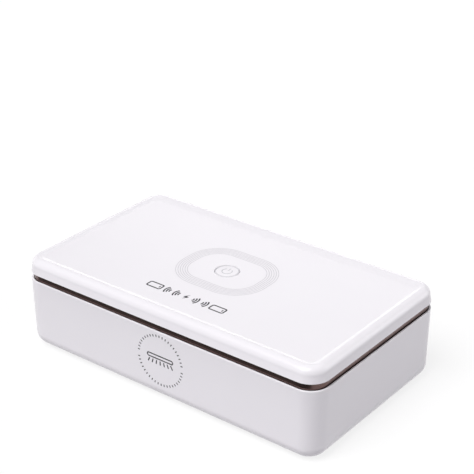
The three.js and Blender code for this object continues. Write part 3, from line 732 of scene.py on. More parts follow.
# %% Mould the base shell
base_section = rounded([
    (SOFT_EDGE + 1, UNDERSIDE), (0, UNDERSIDE, SOFT_EDGE), (0, RIM, 0.4), (LIP, RIM, 0.25),
    (LIP, LEDGE, 0.15), (WALL, LEDGE, 0.2), (WALL, UNDERSIDE + FLOOR, SOFT_EDGE - WALL),
    (SOFT_EDGE + 1, UNDERSIDE + FLOOR),
])
base = solids("base_shell_moulded", patch(walls(base_section, leaning=True), capped=True))
boss_end = TRAY_UNDER - TRAY_BOSS
towers = [rod(TOWER, UNDERSIDE + TOWER_ROOT, boss_end - GAP, spot(node)) for node in FEET]
hole_plan = circle(PIN + GAP, PIVOT[1:], steps=32)
pin_hole = carried(hole_plan, -HINGE_HALF - PAST, HINGE_HALF + PAST, ease=0, axis=0)
knuckle_room = block(
    [-LID_KNUCKLE - PLAY, PIVOT[1] - BARREL - GAP, PIVOT[2] - BARREL - GAP],
    [LID_KNUCKLE + PLAY, HALF[1] + PAST, PIVOT[2]],
)
combine(
    base,
    added=[towers, [holder for holder, pocket in pockets], knuckles],
    removed=[[pocket for holder, pocket in pockets], wells, pin_hole, knuckle_room],
)
dress(base, "base", "white_shell", [WHITE_ABS], "base_shell")

# %% [markdown]
# The tray is the grey tub that the phone lies in. It hangs by a narrow flange on a step inside
# the shell's rim, and bosses under its floor take the screws that come up through the feet. Its
# floor meets its walls in a round of 5 mm, so that nothing can hide in a corner from the light.

# %% Mould the tray
TRAY_OUTER, TRAY_WALL, TRAY_ROUND = 4.586, 1.6, 5.0
TRAY_INNER = TRAY_OUTER + TRAY_WALL
BOSS, BROKEN = 3.2, 0.2
tray_floor, tray_middle = TRAY_UNDER + TRAY_WALL, TRAY_INNER + 7
tray_section = rounded([
    (tray_middle, TRAY_UNDER), (TRAY_OUTER, TRAY_UNDER, TRAY_ROUND + TRAY_WALL),
    (TRAY_OUTER, TRAY_RIM - FLANGE, 0.3), (FRAME_OUTER, TRAY_RIM - FLANGE, 0.3),
    (FRAME_OUTER, TRAY_RIM, 0.3), (TRAY_INNER, TRAY_RIM, 0.6),
    (TRAY_INNER, tray_floor, TRAY_ROUND), (tray_middle, tray_floor),
])
tray = solids("base_tray_moulded", patch(walls(tray_section, leaning=True), capped=True))
boss_root = TRAY_UNDER + TRAY_WALL / 2
boss = [
    (0, boss_end), (BOSS - BROKEN, boss_end), (BOSS, boss_end + BROKEN), (BOSS, boss_root),
    (0, boss_root),
]
bosses = [turned(boss, spot(node)) for node in FEET]
shank_holes = [rod(SHANK + GAP, boss_end - PAST, TRAY_UNDER, spot(node)) for node in FEET]
NOTCH = HINGE_HALF + GAP
tray_notch = block(
    [-NOTCH, HALF[1] - WALL - GAP, TRAY_RIM - FLANGE - PAST], [NOTCH, HALF[1], TRAY_RIM + PAST],
)
combine(tray, added=[bosses], removed=[shank_holes, tray_notch])
dress(tray, "base", "grey_liner", [TRAY_GREY], "base_tray")

# %% [markdown]
# The lid's shell is the hardest form: straight walls that roll softly into the top. A round
# fillet would look mechanical. The real roll is flatter near the top and tighter near the wall,
# which is what a superellipse gives: across ** 2.1 + up ** 2.1 = 1. Inside its crest the top is
# dished by 0.7 mm, over a wider strip at the rear.

# %% Roll and dish the lid
LID_WALL, LID_LEAN = 2.0, 0.85
ROLL_WIDTH, ROLL_REAR, ROLL_DROP, ROLL_POWER, ROLL_STEPS = 6.2, 6.0, 5.0, 2.1, 28
DISH_WIDTH, DISH_REAR, DISH_STEPS, DISH_SKEW = 3.0, 8.0, 16, 0.65
HOLE, HOLE_EDGE, FLAT_ROWS = 7.8, 0.15, 9


def roll(wall, top):
    """Rows from the wall up to the top: with t from 0 to 90 degrees, the inset goes in as
    1 - cos(t) ** (2 / power) and the height comes up as sin(t) ** (2 / power)."""
    angle = np.linspace(0, np.pi / 2, ROLL_STEPS + 1)
    inwards = 1 - np.clip(np.cos(angle), 0, 1) ** (2 / ROLL_POWER)
    upwards = np.sin(angle) ** (2 / ROLL_POWER)
    side = wall + (ROLL_WIDTH - wall) * inwards
    rear = wall + (ROLL_REAR - wall) * inwards
    return at_heights(outline(side, rear), top - ROLL_DROP * (1 - upwards))


def dish():
    """Rows from the crest down to the flat top: half a cosine wave across a few millimetres.
    Its steepest place is drawn towards the crest by a power of the share."""
    share = np.arange(1, DISH_STEPS + 1) / DISH_STEPS
    fall = (CREST - PLATEAU) * (1 - np.cos(np.pi * share ** DISH_SKEW)) / 2
    plan = outline(ROLL_WIDTH + DISH_WIDTH * share, ROLL_REAR + DISH_REAR * share)
    return at_heights(plan, CREST - fall)


def hole_row(radius, height):
    """A circle with as many points as the plan, in step with them: a corner's middle point of
    the plan faces the same way as its point on the circle."""
    columns = 4 * (ARC + 1 + RUN)
    turn = (np.arange(columns) - ARC / 2) * 2 * np.pi / columns + np.pi / 4
    return at_heights(radius * spokes(turn)[None], height)


def between(first, last, steps):
    """Rows that change evenly from one row to another, without the two."""
    share = np.arange(1, steps)[:, None, None] / steps
    return first + (last - first) * share


print(f"lid: wall {LID_WALL} mm, roll {ROLL_WIDTH} mm wide and {ROLL_DROP} mm high")

# %% [markdown]
# The rows now go round the whole section: up the wall, over the roll and the dish, on across the
# flat, where they change shape from the box's plan into the button's circle, down through the
# hole and back inside as the inner skin. The shell is one loop, without a seam to hide.

# %% Mould the lid shell
outer_roll = roll(LID_LEAN, CREST)
inner_roll = roll(LID_WALL, CEILING)[::-1]
lid_walls = walls(rounded([
    (LID_WALL, CEILING - ROLL_DROP), (LID_WALL, LID_EDGE, 0.3), (0, LID_EDGE, 0.35),
    (LID_LEAN, CREST - ROLL_DROP),
]))
dished = dish()
quarter = np.linspace(0, np.pi / 2, 6)
hole_edge = np.concatenate([
    hole_row(HOLE + HOLE_EDGE * (1 - np.sin(turn)), PLATEAU - HOLE_EDGE * (1 - np.cos(turn)))
    for turn in quarter
])
hole_wide = hole_row(HOLE + HOLE_EDGE + SUPPORT, PLATEAU)
hole_low = hole_row(HOLE, CEILING)
lid_rows = np.concatenate([
    lid_walls, outer_roll[1:], dished,
    between(dished[-1:], hole_wide, FLAT_ROWS), hole_wide, hole_edge, hole_low,
    between(hole_low, inner_roll[:1], FLAT_ROWS), inner_roll[:-1],
])
lid = solids("lid_shell_moulded", patch(lid_rows, looped=True))
print(f"lid skin: {lid_rows.shape[0]} rows of {lid_rows.shape[1]} points")

# %% [markdown]
# Screw bosses hang from the lid's ceiling, each with a blind hole. The charging inlet's slot has
# a small flare, so that a plug finds its way in. The hinge notch leaves room for the knuckles.

# %% Add bosses and openings to the lid
BOSS_WALL = 1.1


def hanging_boss(node, bottom, shank):
    """A post over a screw and the hole for the screw's shank, broken at its mouth."""
    room = shank + GAP
    radius = room + BOSS_WALL
    top = (CEILING + PLATEAU) / 2
    post = [
        (0, bottom), (radius - BROKEN, bottom), (radius, bottom + BROKEN), (radius, top), (0, top),
    ]
    hole = [
        (0, bottom - PAST), (room + BROKEN, bottom - PAST), (room + BROKEN, bottom),
        (room, bottom + BROKEN), (room, CEILING), (0, CEILING),
    ]
    return turned(post, spot(node), steps=32), turned(hole, spot(node), steps=32)


BOARD_TOP = box_mm("lamp_strip_left")[1][2]
FINE_SHANK = 0.8
CORNERS = [f"{row}_{side}" for row in ("front", "rear") for side in ("left", "right")]
boss_parts = [
    hanging_boss(f"{kind}_screw_{corner}", BOARD_TOP + GAP, FINE_SHANK)
    for kind in ("board", "strip") for corner in CORNERS
]
HINGE_SCREWS = ["hinge_screw_left", "hinge_screw_right"]
boss_parts += [hanging_boss(node, PIVOT[2] + LEAF + GAP, SHANK) for node in HINGE_SCREWS]
port_low, port_high = box_mm("charging_port")
port_centre = middle_mm("charging_port")[[0, 2]]


def stadium(width, height, centre, steps=24):
    """An outline for carried(): two half circles as high as the slot, moved apart."""
    radius = height / 2
    turn = np.linspace(-np.pi / 2, np.pi / 2, steps)
    reach = width / 2 - radius

    def section(inset):
        end = (radius - inset) * spokes(turn)
        return np.concatenate([end + [reach, 0], -end - [reach, 0]]) + centre

    return section


can_width, can_height = (port_high - port_low)[[0, 2]]
port_section = stadium(can_width + 2 * GAP, can_height + 2 * GAP, port_centre)
FLARE = 0.35
slot_depths = [port_low[1] - GAP, HALF[1] - FLARE, HALF[1], HALF[1] + PAST]
port_slot = loft(port_section, slot_depths, (0, 0, -FLARE, -FLARE), axis=1)
notch_top = PIVOT[2] + BARREL + GAP
lid_notch = block(
    [-NOTCH, HALF[1] - LID_WALL - PAST, LID_EDGE - PAST], [NOTCH, HALF[1] + PAST, notch_top],
)
combine(lid, added=[[post for post, hole in boss_parts]],
        removed=[[hole for post, hole in boss_parts], port_slot, lid_notch])
dress(lid, "lid", "white_shell", [WHITE_ABS], "lid_shell")

# %% [markdown]
# The band is the outer face of a frame that does three jobs. Its skirt drops inside the base's
# lip, its tongue stands inside the lid's wall, and its ledge carries the liner. The section is a
# closed line, so the skin is a loop with no caps, like a picture frame.

# %% Plate the trim frame
SHOULDER = LID_EDGE - GAP
SKIRT_END = box_mm("trim_frame")[0][2]
TONGUE_TOP = box_mm("trim_frame")[1][2]
FRAME_WALL, LEDGE_WIDE, LEDGE_THICK = 1.6, 1.4, 1.2
FRAME_INNER = FRAME_OUTER + FRAME_WALL
TONGUE_OUTER = LID_WALL + GAP
TONGUE_INNER = TONGUE_OUTER + FRAME_WALL
LEDGE_INNER = TONGUE_INNER + LEDGE_WIDE
LEDGE_UNDER = SHOULDER - LEDGE_THICK
frame_section = rounded([
    (FRAME_OUTER, SKIRT_END, 0.3), (FRAME_OUTER, SHOULDER, 0.2), (TONGUE_OUTER, SHOULDER, 0.1),
    (TONGUE_OUTER, TONGUE_TOP, 0.2), (TONGUE_INNER, TONGUE_TOP, 0.2), (TONGUE_INNER, SHOULDER, 0.1),
    (LEDGE_INNER, SHOULDER, 0.2), (LEDGE_INNER, LEDGE_UNDER, 0.3), (FRAME_INNER, LEDGE_UNDER, 0.1),
    (FRAME_INNER, SKIRT_END, 0.3),
], closed=True)
trim = solids("trim_frame_plated", patch(walls(frame_section), looped=True))
frame_notch = block(
    [-NOTCH, HALF[1] - LEDGE_INNER - PAST, SKIRT_END - PAST], [NOTCH, HALF[1], notch_top],
)
combine(trim, removed=[frame_notch])
dress(trim, "lid", "bronze_trim", [COPPER_BAND], "trim_frame")

# %% [markdown]
# The liner closes the lid from below. Nine round openings let the lamps through. Their lower
# edges flare, so that the light spreads, and they read as small pale cups in the grey panel.

# %% Mould the liner
LINER_INSET = TONGUE_INNER + GAP
LINER_TOP = box_mm("lid_liner")[1][2]
LAMPS = [
    f"uv_lamp_{column}_{row}"
    for column in ("left", "centre", "right") for row in ("front", "middle", "rear")
]
CUP, CUP_FLARE = 3.5, 0.5
SCREW_HOLE, SENSOR_HOLE, SENSOR_FLARE = 2.7, 2.05, 0.15


def liner_hole(node, radius, flare=0.0):
    """A turned cutter below a piece, wider by the flare at the liner's lower face."""
    return turned([
        (0, LID_EDGE - PAST), (radius + flare, LID_EDGE - PAST), (radius + flare, LID_EDGE),
        (radius, LID_EDGE + flare), (radius, LINER_TOP + PAST), (0, LINER_TOP + PAST),
    ], spot(node))


liner_section = rounded([
    (LINER_INSET + 3, LID_EDGE), (LINER_INSET, LID_EDGE, 0.4), (LINER_INSET, LINER_TOP, 0.15),
    (LINER_INSET + 3, LINER_TOP),
])
liner = solids("lid_liner_moulded", patch(walls(liner_section), capped=True))
liner_holes = [liner_hole(node, CUP, CUP_FLARE) for node in LAMPS]
liner_holes += [liner_hole(node, SCREW_HOLE) for node in HINGE_SCREWS]
liner_holes.append(liner_hole("lid_sensor", SENSOR_HOLE, SENSOR_FLARE))
combine(liner, removed=[liner_holes])
dress(liner, "lid", "grey_liner", [LINER_GREY], "lid_liner")

# %% [markdown]
# Under the liner sit two small open-topped blocks. The front one holds the magnets that keep the
# lid shut, and the rear one covers the hinge arm. Fine grooves run round both. They are hollow
# lofts: one section with grooves in its outer wall, carried round a small rounded plan.

# %% Mould the catch block and the hinge cover
BLOCK_WALL = BLOCK_FLOOR = 1.2
BLOCK_ROUND = 1.5
GROOVE_WIDE, GROOVE_DEEP = 0.5, 0.35
CATCH_GROOVES, COVER_GROOVES = [2.6], [1.6, 3.4]


def groove(height):
    """Corners of a shallow groove in the outer wall, from below."""
    low, high = height - GROOVE_WIDE / 2, height + GROOVE_WIDE / 2
    return [(0, low, 0.08), (GROOVE_DEEP, low, 0.1), (GROOVE_DEEP, high, 0.1), (0, high, 0.08)]


def hollow_block(name, node, grooves):
    """An open-topped block in the place of a construction piece, with grooves at given heights
    above its foot."""
    low, high = box_mm(node)
    half = (high - low)[:2] / 2
    section = [(BLOCK_ROUND * 2, low[2]), (0, low[2], 0.5)]
    for height in grooves:
        section += groove(low[2] + height)
    section += [
        (0, high[2], 0.15), (BLOCK_WALL, high[2], 0.15), (BLOCK_WALL, low[2] + BLOCK_FLOOR, 0.3),
        (BLOCK_ROUND * 2, low[2] + BLOCK_FLOOR),
    ]
    rows = walls(rounded(section), half=half, corner=BLOCK_ROUND, centre=spot(node), arc=10, run=3)
    return solids(name, patch(rows, capped=True))


catch_low, catch_high = box_mm("catch_block")
catch = hollow_block("catch_block_moulded", "catch_block", CATCH_GROOVES)
combine(catch, removed=[block(
    [catch_low[0] - PAST, catch_low[1] - PAST, LEDGE_UNDER - GAP],
    [catch_high[0] + PAST, -(HALF[1] - LEDGE_INNER - GAP), catch_high[2] + PAST],
)])
dress(catch, "lid", "grey_liner", [LINER_GREY], "catch_block")

cover_high = box_mm("hinge_cover")[1]
cover = hollow_block("hinge_cover_moulded", "hinge_cover", COVER_GROOVES)
NECK = LID_KNUCKLE + GAP
combine(cover, removed=[block(
    [-NECK, cover_high[1] - BLOCK_WALL - PAST, PIVOT[2] - LEAF - GAP],
    [NECK, cover_high[1] + PAST, cover_high[2] + PAST],
)])
dress(cover, "lid", "grey_liner", [LINER_GREY], "hinge_cover")

# %% [markdown]
# The hinge is a steel leaf with a rolled barrel. Its barrel turns on a pin between the base's two
# knuckles, tight enough to hold the lid wherever it is left. Sheet steel has broken edges and
# round holes, so the leaf and the neck are carried outlines, joined and then drilled.

# %% Roll the hinge arm and its pin
LEAF_CORNER = 1.2
arm_low, arm_high = box_mm("hinge_arm")
leaf_rear = cover_high[1] - BLOCK_WALL - GAP
leaf_centre, leaf_half = (arm_low[1] + leaf_rear) / 2, (leaf_rear - arm_low[1]) / 2
leaf_plan = slab((arm_high[0], leaf_half), LEAF_CORNER, (0, leaf_centre))
leaf_low, leaf_high = PIVOT[2] - LEAF, PIVOT[2] + LEAF
arm = solids("hinge_arm_steel", carried(leaf_plan, leaf_low, leaf_high, ease=0.15))
neck = block([-LID_KNUCKLE, leaf_centre, leaf_low], [LID_KNUCKLE, PIVOT[1], leaf_high], ease=0.1)
barrel = carried(circle(BARREL, PIVOT[1:]), -LID_KNUCKLE, LID_KNUCKLE, ease=0.2, axis=0)
arm_holes = [
    rod(SHANK + GAP, leaf_low - PAST, leaf_high + PAST, spot(node), steps=32)
    for node in HINGE_SCREWS
]
combine(arm, added=[neck, barrel], removed=[arm_holes, pin_hole])
dress(arm, "lid", "steel", [STEEL], "hinge_arm")

pin_low, pin_high = box_mm("hinge_pin")
pin_skin = carried(circle(PIN, PIVOT[1:]), pin_low[0], pin_high[0], ease=0.25, axis=0)
pin = solids("hinge_pin_steel", pin_skin)
dress(pin, "base", "steel", [STEEL], "hinge_pin")

# %% [markdown]
# The power button is a white cap, very slightly dished so that a fingertip finds it. A flange
# under it stops it from falling out through the lid, and a stem reaches down to the switch. It
# is turned like a lathe part. The dish is a parabola: it falls with the radius squared.

# %% Turn the power button
BUTTON, STEM = 7.5, 1.5
DISH_RADIUS, DISH = 6.6, 0.2
button_low, button_high = box_mm("power_button")
FLANGE_RADIUS, FLANGE_THICK = button_high[0], 0.6


def button_height(radius):
    """Height of the button's top at a radius from its middle."""
    return PLATEAU - DISH * (1 - np.minimum(radius / DISH_RADIUS, 1) ** 2)


flange_top = CEILING - GAP
flange_low = flange_top - FLANGE_THICK
outside = rounded([
    (0, button_low[2]), (STEM, button_low[2], 0.2), (STEM, flange_low, 0.2),
    (FLANGE_RADIUS, flange_low, 0.15), (FLANGE_RADIUS, flange_top, 0.15), (BUTTON, flange_top, 0.1),
    (BUTTON, PLATEAU, 0.15), (DISH_RADIUS, PLATEAU),
])
inwards = np.linspace(DISH_RADIUS, 0, 14)[1:]
button_section = np.concatenate([outside, np.stack([inwards, button_height(inwards)], -1)])
button = solids("power_button_cap", turned(button_section, steps=96))
dress(button, "button", "white_shell", [WHITE_ABS], "power_button")

# %% [markdown]
# Print is a film of ink a few hundredths of a millimetre thick. It could be painted into the
# material with a mask. As thin solids it stays sharp at any distance, and it can be measured.
# A stroke is a flat line with a width. Its section is a thin rectangle, carried along the line
# and laid on a surface by a function that turns (across, along, height) into a place.

# %% Lay strokes of ink
INK, BITE = 0.035, 0.02


def on_lid(across, along, height):
    """On the lid's flat top."""
    return np.stack(np.broadcast_arrays(across, along, PLATEAU + height), -1)


def on_button(across, along, height):
    """On the button's dish."""
    level = button_height(np.hypot(across, along)) + height
    return np.stack(np.broadcast_arrays(across, along, level), -1)


def on_front(across, up, height):
    """On the base's front face, which leans."""
    return np.stack(np.broadcast_arrays(across, lean(up) - HALF[1] - height, up), -1)


def stroke(line, width, surface, closed=False):
    """A line of ink: half the width to both sides, square to the line's own direction."""
    line = np.asarray(line, float)
    ahead = np.roll(line, -1, 0) - np.roll(line, 1, 0)
    if not closed:
        ahead[0], ahead[-1] = line[1] - line[0], line[-1] - line[-2]
    side = np.stack([-ahead[:, 1], ahead[:, 0]], -1)
    side *= width / 2 / np.linalg.norm(side, axis=1, keepdims=True)
    edges = np.stack([line - side, line + side, line + side, line - side], 1)
    heights = np.array([-BITE, -BITE, INK, INK])
    grid = surface(edges[..., 0], edges[..., 1], heights)
    return patch(grid, looped=closed, capped=not closed)


def shape_of_ink(corners, surface):
    """A filled outline of ink."""
    corners = np.asarray(corners, float)
    rows = [surface(corners[:, 0], corners[:, 1], level) for level in (-BITE, INK)]
    return patch(np.stack(rows), capped=True)


def arc_line(centre, radius, start, end, steps=24):
    """Points on an arc between two angles in degrees."""
    turn = np.radians(np.linspace(start, end, steps + 1))
    return np.asarray(centre) + radius * spokes(turn)


print(f"ink: {INK} mm proud of the plastic")

# %% [markdown]
# Six thin grey lines on the lid show where the charging coil lies. They are rounded rectangles,
# one inside the other, at an even distance, so the plan function draws them as it does the box.

# %% Print the charging rings
RINGS, RING_STEP = 6, 1.42
RING_HALF, RING_CORNER = (30.9, 25.0), 21.6
RING_WIDTH = 0.36
ring_lines = outline(np.arange(RINGS) * RING_STEP, half=RING_HALF, corner=RING_CORNER)
ring_strokes = [stroke(line, RING_WIDTH, on_lid, closed=True) for line in ring_lines]
rings = solids("charging_rings", *ring_strokes)
dress(rings, "lid", "white_shell", [RING_INK])

# %% [markdown]
# In front of the rings stands a row of plain signs that say what the pad does, without words: a
# phone, waves, a flash, waves and a phone. They keep the size and weight of a printed line.

# %% Print the signs on the lid
SIGN_X, SIGN_Y, SIGN_WIDTH = 1.0, -39.6, 0.9
PHONE_X, PHONE_HALF, PHONE_CORNER, PHONE_MARK = 23.5, (5.0, 2.5), 1.0, (3.4, 0.9)
MARK_SHARE = 0.8
WAVES_X, WAVE_RADII, WAVE_SPREAD = (3.6, 10.4), (2.0, 3.6, 5.2), 40


def phone_sign(x):
    """A phone lying on its side: a rounded outline and a short line at one end."""
    edge = slab(PHONE_HALF, PHONE_CORNER, (x, SIGN_Y))(0)
    mark = [(x + PHONE_MARK[0], SIGN_Y + end * PHONE_MARK[1]) for end in (-1, 1)]
    line = stroke(edge, SIGN_WIDTH, on_lid, closed=True)
    return [line, stroke(mark, SIGN_WIDTH * MARK_SHARE, on_lid)]


def wave_signs(x, side):
    """Three arcs that spread from a point, to one side."""
    middle = 0 if side > 0 else 180
    start, end = middle - WAVE_SPREAD, middle + WAVE_SPREAD
    lines = [arc_line((x, SIGN_Y), radius, start, end) for radius in WAVE_RADII]
    return [stroke(line, SIGN_WIDTH, on_lid) for line in lines]


FLASH_SHARES = [(0.15, 0.5), (-0.3, -0.08), (-0.02, -0.08), (-0.15, -0.5), (0.3, 0.08), (0.02, 0.08)]
FLASH = 6.0
flash = [(SIGN_X + x * FLASH, SIGN_Y + y * FLASH) for x, y in FLASH_SHARES]
signs = [shape_of_ink(flash, on_lid)]
for side in (-1, 1):
    signs += phone_sign(SIGN_X + side * PHONE_X)
    for x in WAVES_X:
        signs += wave_signs(SIGN_X + side * x, side)
lid_signs = solids("lid_signs", *signs)
dress(lid_signs, "lid", "white_shell", [DARK_INK])

# %% [markdown]
# The front face carries a round device: a ring of plain ticks, and in its middle a lamp that
# shines downwards, which is what the box does to a phone. The surface function leans with the
# face, so the ink follows the draft of the mould.

# %% Print the device on the front
DEVICE = (0.3, 28.0)
TICK_RADIUS, TICK_LENGTH, TICKS = 16.4, 1.5, 44
TICK_GAPS = (0, 22)
DEVICE_WIDTH = 0.65


def tick(at):
    """A short line that points to the middle of the device."""
    spoke = spokes(np.radians(at * 360 / TICKS))
    ends = [DEVICE + spoke * (TICK_RADIUS + side * TICK_LENGTH / 2) for side in (-1, 1)]
    return stroke(ends, DEVICE_WIDTH, on_front)


LAMP_HALF, LAMP_CORNER, LAMP_UP, LAMP_WIDTH = (9.6, 1.1), 1.05, 1.9, 0.8
RAYS, RAY_SPAN, RAY_DOWN, RAY_SPREAD, RAY_LENGTH = 7, 8.0, 0.4, 1.3, 2.6
lamp_edge = slab(LAMP_HALF, LAMP_CORNER, (DEVICE[0], DEVICE[1] + LAMP_UP), arc=8)(0)
marks = [tick(at) for at in range(TICKS) if at not in TICK_GAPS]
marks.append(stroke(lamp_edge, LAMP_WIDTH, on_front, closed=True))
for at in range(RAYS):
    share = at / (RAYS - 1) * 2 - 1
    top = np.array([DEVICE[0] + share * RAY_SPAN, DEVICE[1] - RAY_DOWN])
    marks.append(stroke([top, top + [share * RAY_SPREAD, -RAY_LENGTH]], LAMP_WIDTH, on_front))
device = solids("front_device", *marks)
dress(device, "base", "white_shell", [DARK_INK])

# %% [markdown]
# The button's sign is the usual one for power: a ring, open at the top, and a bar in the gap. A
# thin grey ring just inside the button's rim is painted shade, for the line of shade at its dish's
# rim.

# %% Print the power sign and paint its ring of shade
POWER_RADIUS, POWER_WIDTH, POWER_ARC = 3.1, 0.5, (125, 415)
BAR = (1.0, 2.0, 3.0, 3.9)
# The ring at this radius is painted shade: a grey line in ink where the dish's rim throws shade.
SHADE_RING, SHADE_RING_WIDTH = 6.95, 0.4
power = solids(
    "power_sign_and_shade_ring",
    stroke(arc_line((0, 0), POWER_RADIUS, *POWER_ARC, steps=48), POWER_WIDTH, on_button),
    stroke([(0, up) for up in BAR], POWER_WIDTH, on_button),
    stroke(arc_line((0, 0), SHADE_RING, 0, 360, steps=96)[:-1], SHADE_RING_WIDTH, on_button, closed=True),
)
dress(power, "button", "white_shell", [BUTTON_INK_AND_SHADE])

# %% [markdown]
# Four rubber feet stand in their wells, a millimetre proud. Each has a rounded edge and a shallow
# cup pressed into its sole, which leaves a ring to grip with. Turning the section makes all four.

# %% Turn the rubber feet
SOLE_CUP, SOLE_RING, CUP_DEEP = 2.2, 2.4, 0.15
for node in FEET:
    low, high = box_mm(node)
    radius = (high[0] - low[0]) / 2
    sole = rounded([
        (0, CUP_DEEP), (SOLE_CUP, CUP_DEEP, 0.1), (SOLE_RING, 0, 0.1), (radius, 0, 0.5),
        (radius, high[2], 0.15), (0, high[2]),
    ])
    foot = solids(f"{node}_rubber", turned(sole, spot(node)))
    dress(foot, "base", "rubber_foot", [RUBBER], node)

# %% [markdown]
# Each lamp is a ceramic package with a gilt ring and a small domed window. The window is dark
# when the lamp is off. The lid's sensor is a smoked dome of the same kind, a little larger.

# %% Build the lamps and the sensor
LENS, LENS_RISE, GILT_WIDE, GILT_PROUD, GILT_EDGE = 1.3, 0.3, 0.2, 0.1, 0.03
DOME, DOME_RISE, SENSOR_HEAD, HEAD_EDGE = 1.75, 0.6, 2.6, 0.1


def dome(radius, base, rise, root):
    """A window: an upright wall, then a quarter of an ellipse down to the tip."""
    turn = np.linspace(0, np.pi / 2, 9)
    curve = np.stack([radius * np.cos(turn), base - rise * np.sin(turn)], -1)
    curve[-1, 0] = 0
    return np.concatenate([[(0, root), (radius, root)], curve])


for node in LAMPS:
    low, high = box_mm(node)
    face, ring_edge = low[2] + LENS_RISE, LENS + GILT_WIDE
    root, front = face + GILT_WIDE, face - GILT_PROUD
    package_plan = slab((high - low)[:2] / 2, corner=0.3, centre=spot(node))
    package = carried(package_plan, face, high[2], ease=0.1)
    window = dome(LENS, face, face - low[2], face + LENS_RISE)
    ring = rounded([
        (LENS, root), (LENS, front, GILT_EDGE), (ring_edge, front, GILT_EDGE), (ring_edge, root),
    ])
    ring = np.concatenate([[(0, root)], ring, [(0, root)]])
    glass = turned(window, spot(node), steps=32, finish=1)
    gilt = turned(ring, spot(node), steps=32, finish=2)
    lamp = solids(f"{node}_package", package, glass, gilt)
    dress(lamp, "lid", "lamp_ceramic", [CERAMIC, QUARTZ, GOLD], node)

sensor_low, sensor_high = box_mm("lid_sensor")
shoulder, head_top = LINER_TOP + GAP, sensor_high[2]
window = dome(DOME, sensor_low[2] + DOME_RISE, DOME_RISE, shoulder)
head = [
    (SENSOR_HEAD, shoulder), (SENSOR_HEAD, head_top - HEAD_EDGE),
    (SENSOR_HEAD - HEAD_EDGE, head_top), (0, head_top),
]
sensor_section = np.concatenate([window[:0:-1], head])
sensor = solids("lid_sensor_window", turned(sensor_section, spot("lid_sensor")))
dress(sensor, "lid", "smoked_lens", [SMOKED], "lid_sensor")

# %% [markdown]
# The charging coil is one wire, wound flat in eight turns. A spiral grows by one pitch each
# turn, and the wire's round section is carried along it. The section always faces along a circle
# about the coil's middle, which is the way of the wire but for a degree or two.

# %% Wind the charging coil
WIRE, PITCH, TURNS = 0.9, 1.6, 8
TURN_STEPS, WIRE_SIDES = 72, 12
COIL_ROOM = 0.4
coil_z = middle_mm("charging_coil")[2]
coil_inner = FLANGE_RADIUS + COIL_ROOM + WIRE / 2
turn = np.linspace(0, TURNS * 2 * np.pi, TURNS * TURN_STEPS + 1)[:, None]
across, up = WIRE / 2 * wheel(WIRE_SIDES).T
reach = coil_inner + PITCH * turn / (2 * np.pi) + across
coil_grid = np.stack(np.broadcast_arrays(reach * np.cos(turn), reach * np.sin(turn), coil_z + up), -1)
coil = solids("charging_coil_wire", patch(coil_grid, capped=True))
dress(coil, "lid", "copper_wire", [COPPER_WIRE], "charging_coil")

# %% [markdown]
# The inlet in the rear wall is a small steel can with a black blade inside. The blade carries
# gilt contacts above and below. The can is one skin: out, round its lip, and in to its floor.

# %% Build the charging inlet
CAN_WALL, CAN_FLOOR, CAN_EDGE, CAN_MOUTH = 0.3, 0.6, (0.12, 0.1), 0.08
BLADE, BLADE_ROOT, BLADE_BACK = (3.2, 0.35), 0.3, 0.5
CONTACTS, CONTACT_PITCH, CONTACT, CONTACT_ENDS = 8, 0.7, (0.17, 0.04), (3.6, 1.0)
back, mouth = port_low[1], port_high[1]
can_line = [
    (back, 0), (mouth - CAN_EDGE[0], 0), (mouth, CAN_EDGE[1]), (mouth, CAN_WALL - CAN_MOUTH),
    (mouth - CAN_MOUTH, CAN_WALL), (back + CAN_FLOOR, CAN_WALL),
]
can = loft(stadium(can_width, can_height, port_centre), *zip(*can_line), axis=1)
blade_plan = slab(BLADE, corner=0.2, centre=port_centre)
blade = carried(blade_plan, back + BLADE_ROOT, mouth - BLADE_BACK, ease=0.1, axis=1, finish=1)
contacts = []
for at in range(CONTACTS):
    x = port_centre[0] + (at - (CONTACTS - 1) / 2) * CONTACT_PITCH
    for z in (port_centre[1] - BLADE[1], port_centre[1] + BLADE[1]):
        near = [x - CONTACT[0], mouth - CONTACT_ENDS[0], z - CONTACT[1]]
        far = [x + CONTACT[0], mouth - CONTACT_ENDS[1], z + CONTACT[1]]
        contacts.append(block(near, far, finish=2))
port = solids("charging_port_can", can, blade, *contacts)
dress(port, "lid", "steel", [STEEL, SWITCH, GOLD], "charging_port")

# %% [markdown]
# The pieces that nobody sees with the box together keep the construction's own shapes: boards,
# screws, magnets, cables and the switch. They only need their finishes.

# %% Dress the inner pieces
INNER = {
    "screw": STEEL, "magnet": NICKEL, "ferrite": FERRITE, "main_board": BOARD, "lamp_strip": BOARD,
    "ribbon": FILM, "key_switch": SWITCH,
}
replaced = {node for obj in bpy.data.objects for node in obj.get("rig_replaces", [])}
for node, obj in frame["nodes"].items():
    found = [material for word, material in INNER.items() if word in node]
    if node in replaced or not found:
        continue
    obj.data.materials.clear()
    obj.data.materials.append(found[0])
print(f"inner pieces: {len(frame['nodes']) - len(replaced)} keep the construction's mesh")

# %% [markdown]
# The picture has a white ground and soft light from the front, high up. A broad sun gives most
# of it, and two dimmer ones, low behind the box, draw the bright lines along the lid's edges.
# The wider a sun's angle, the softer its shadows.

# %% Set the suns
# Strength, angle in degrees, and the direction it shines from.
LIGHTS = {
    "soft_sun": (2.69, 40, (-0.1, -0.58, 0.9)),
    "rear_left_sun": (0.26, 30, (-0.56, 0.84, 0.26)),
    "rear_right_sun": (0.92, 40, (0.62, 0.63, 0.22)),
}
for name, (strength, angle, place) in LIGHTS.items():
    light = bpy.data.lights.new(name, "SUN")
    light.energy, light.angle = strength, np.radians(angle)
    lamp = bpy.data.objects.new(name, light)
    lamp.rotation_euler = Vector(place).to_track_quat("Z", "Y").to_euler()
    bpy.context.scene.collection.objects.link(lamp)
print("suns:", ", ".join(LIGHTS))

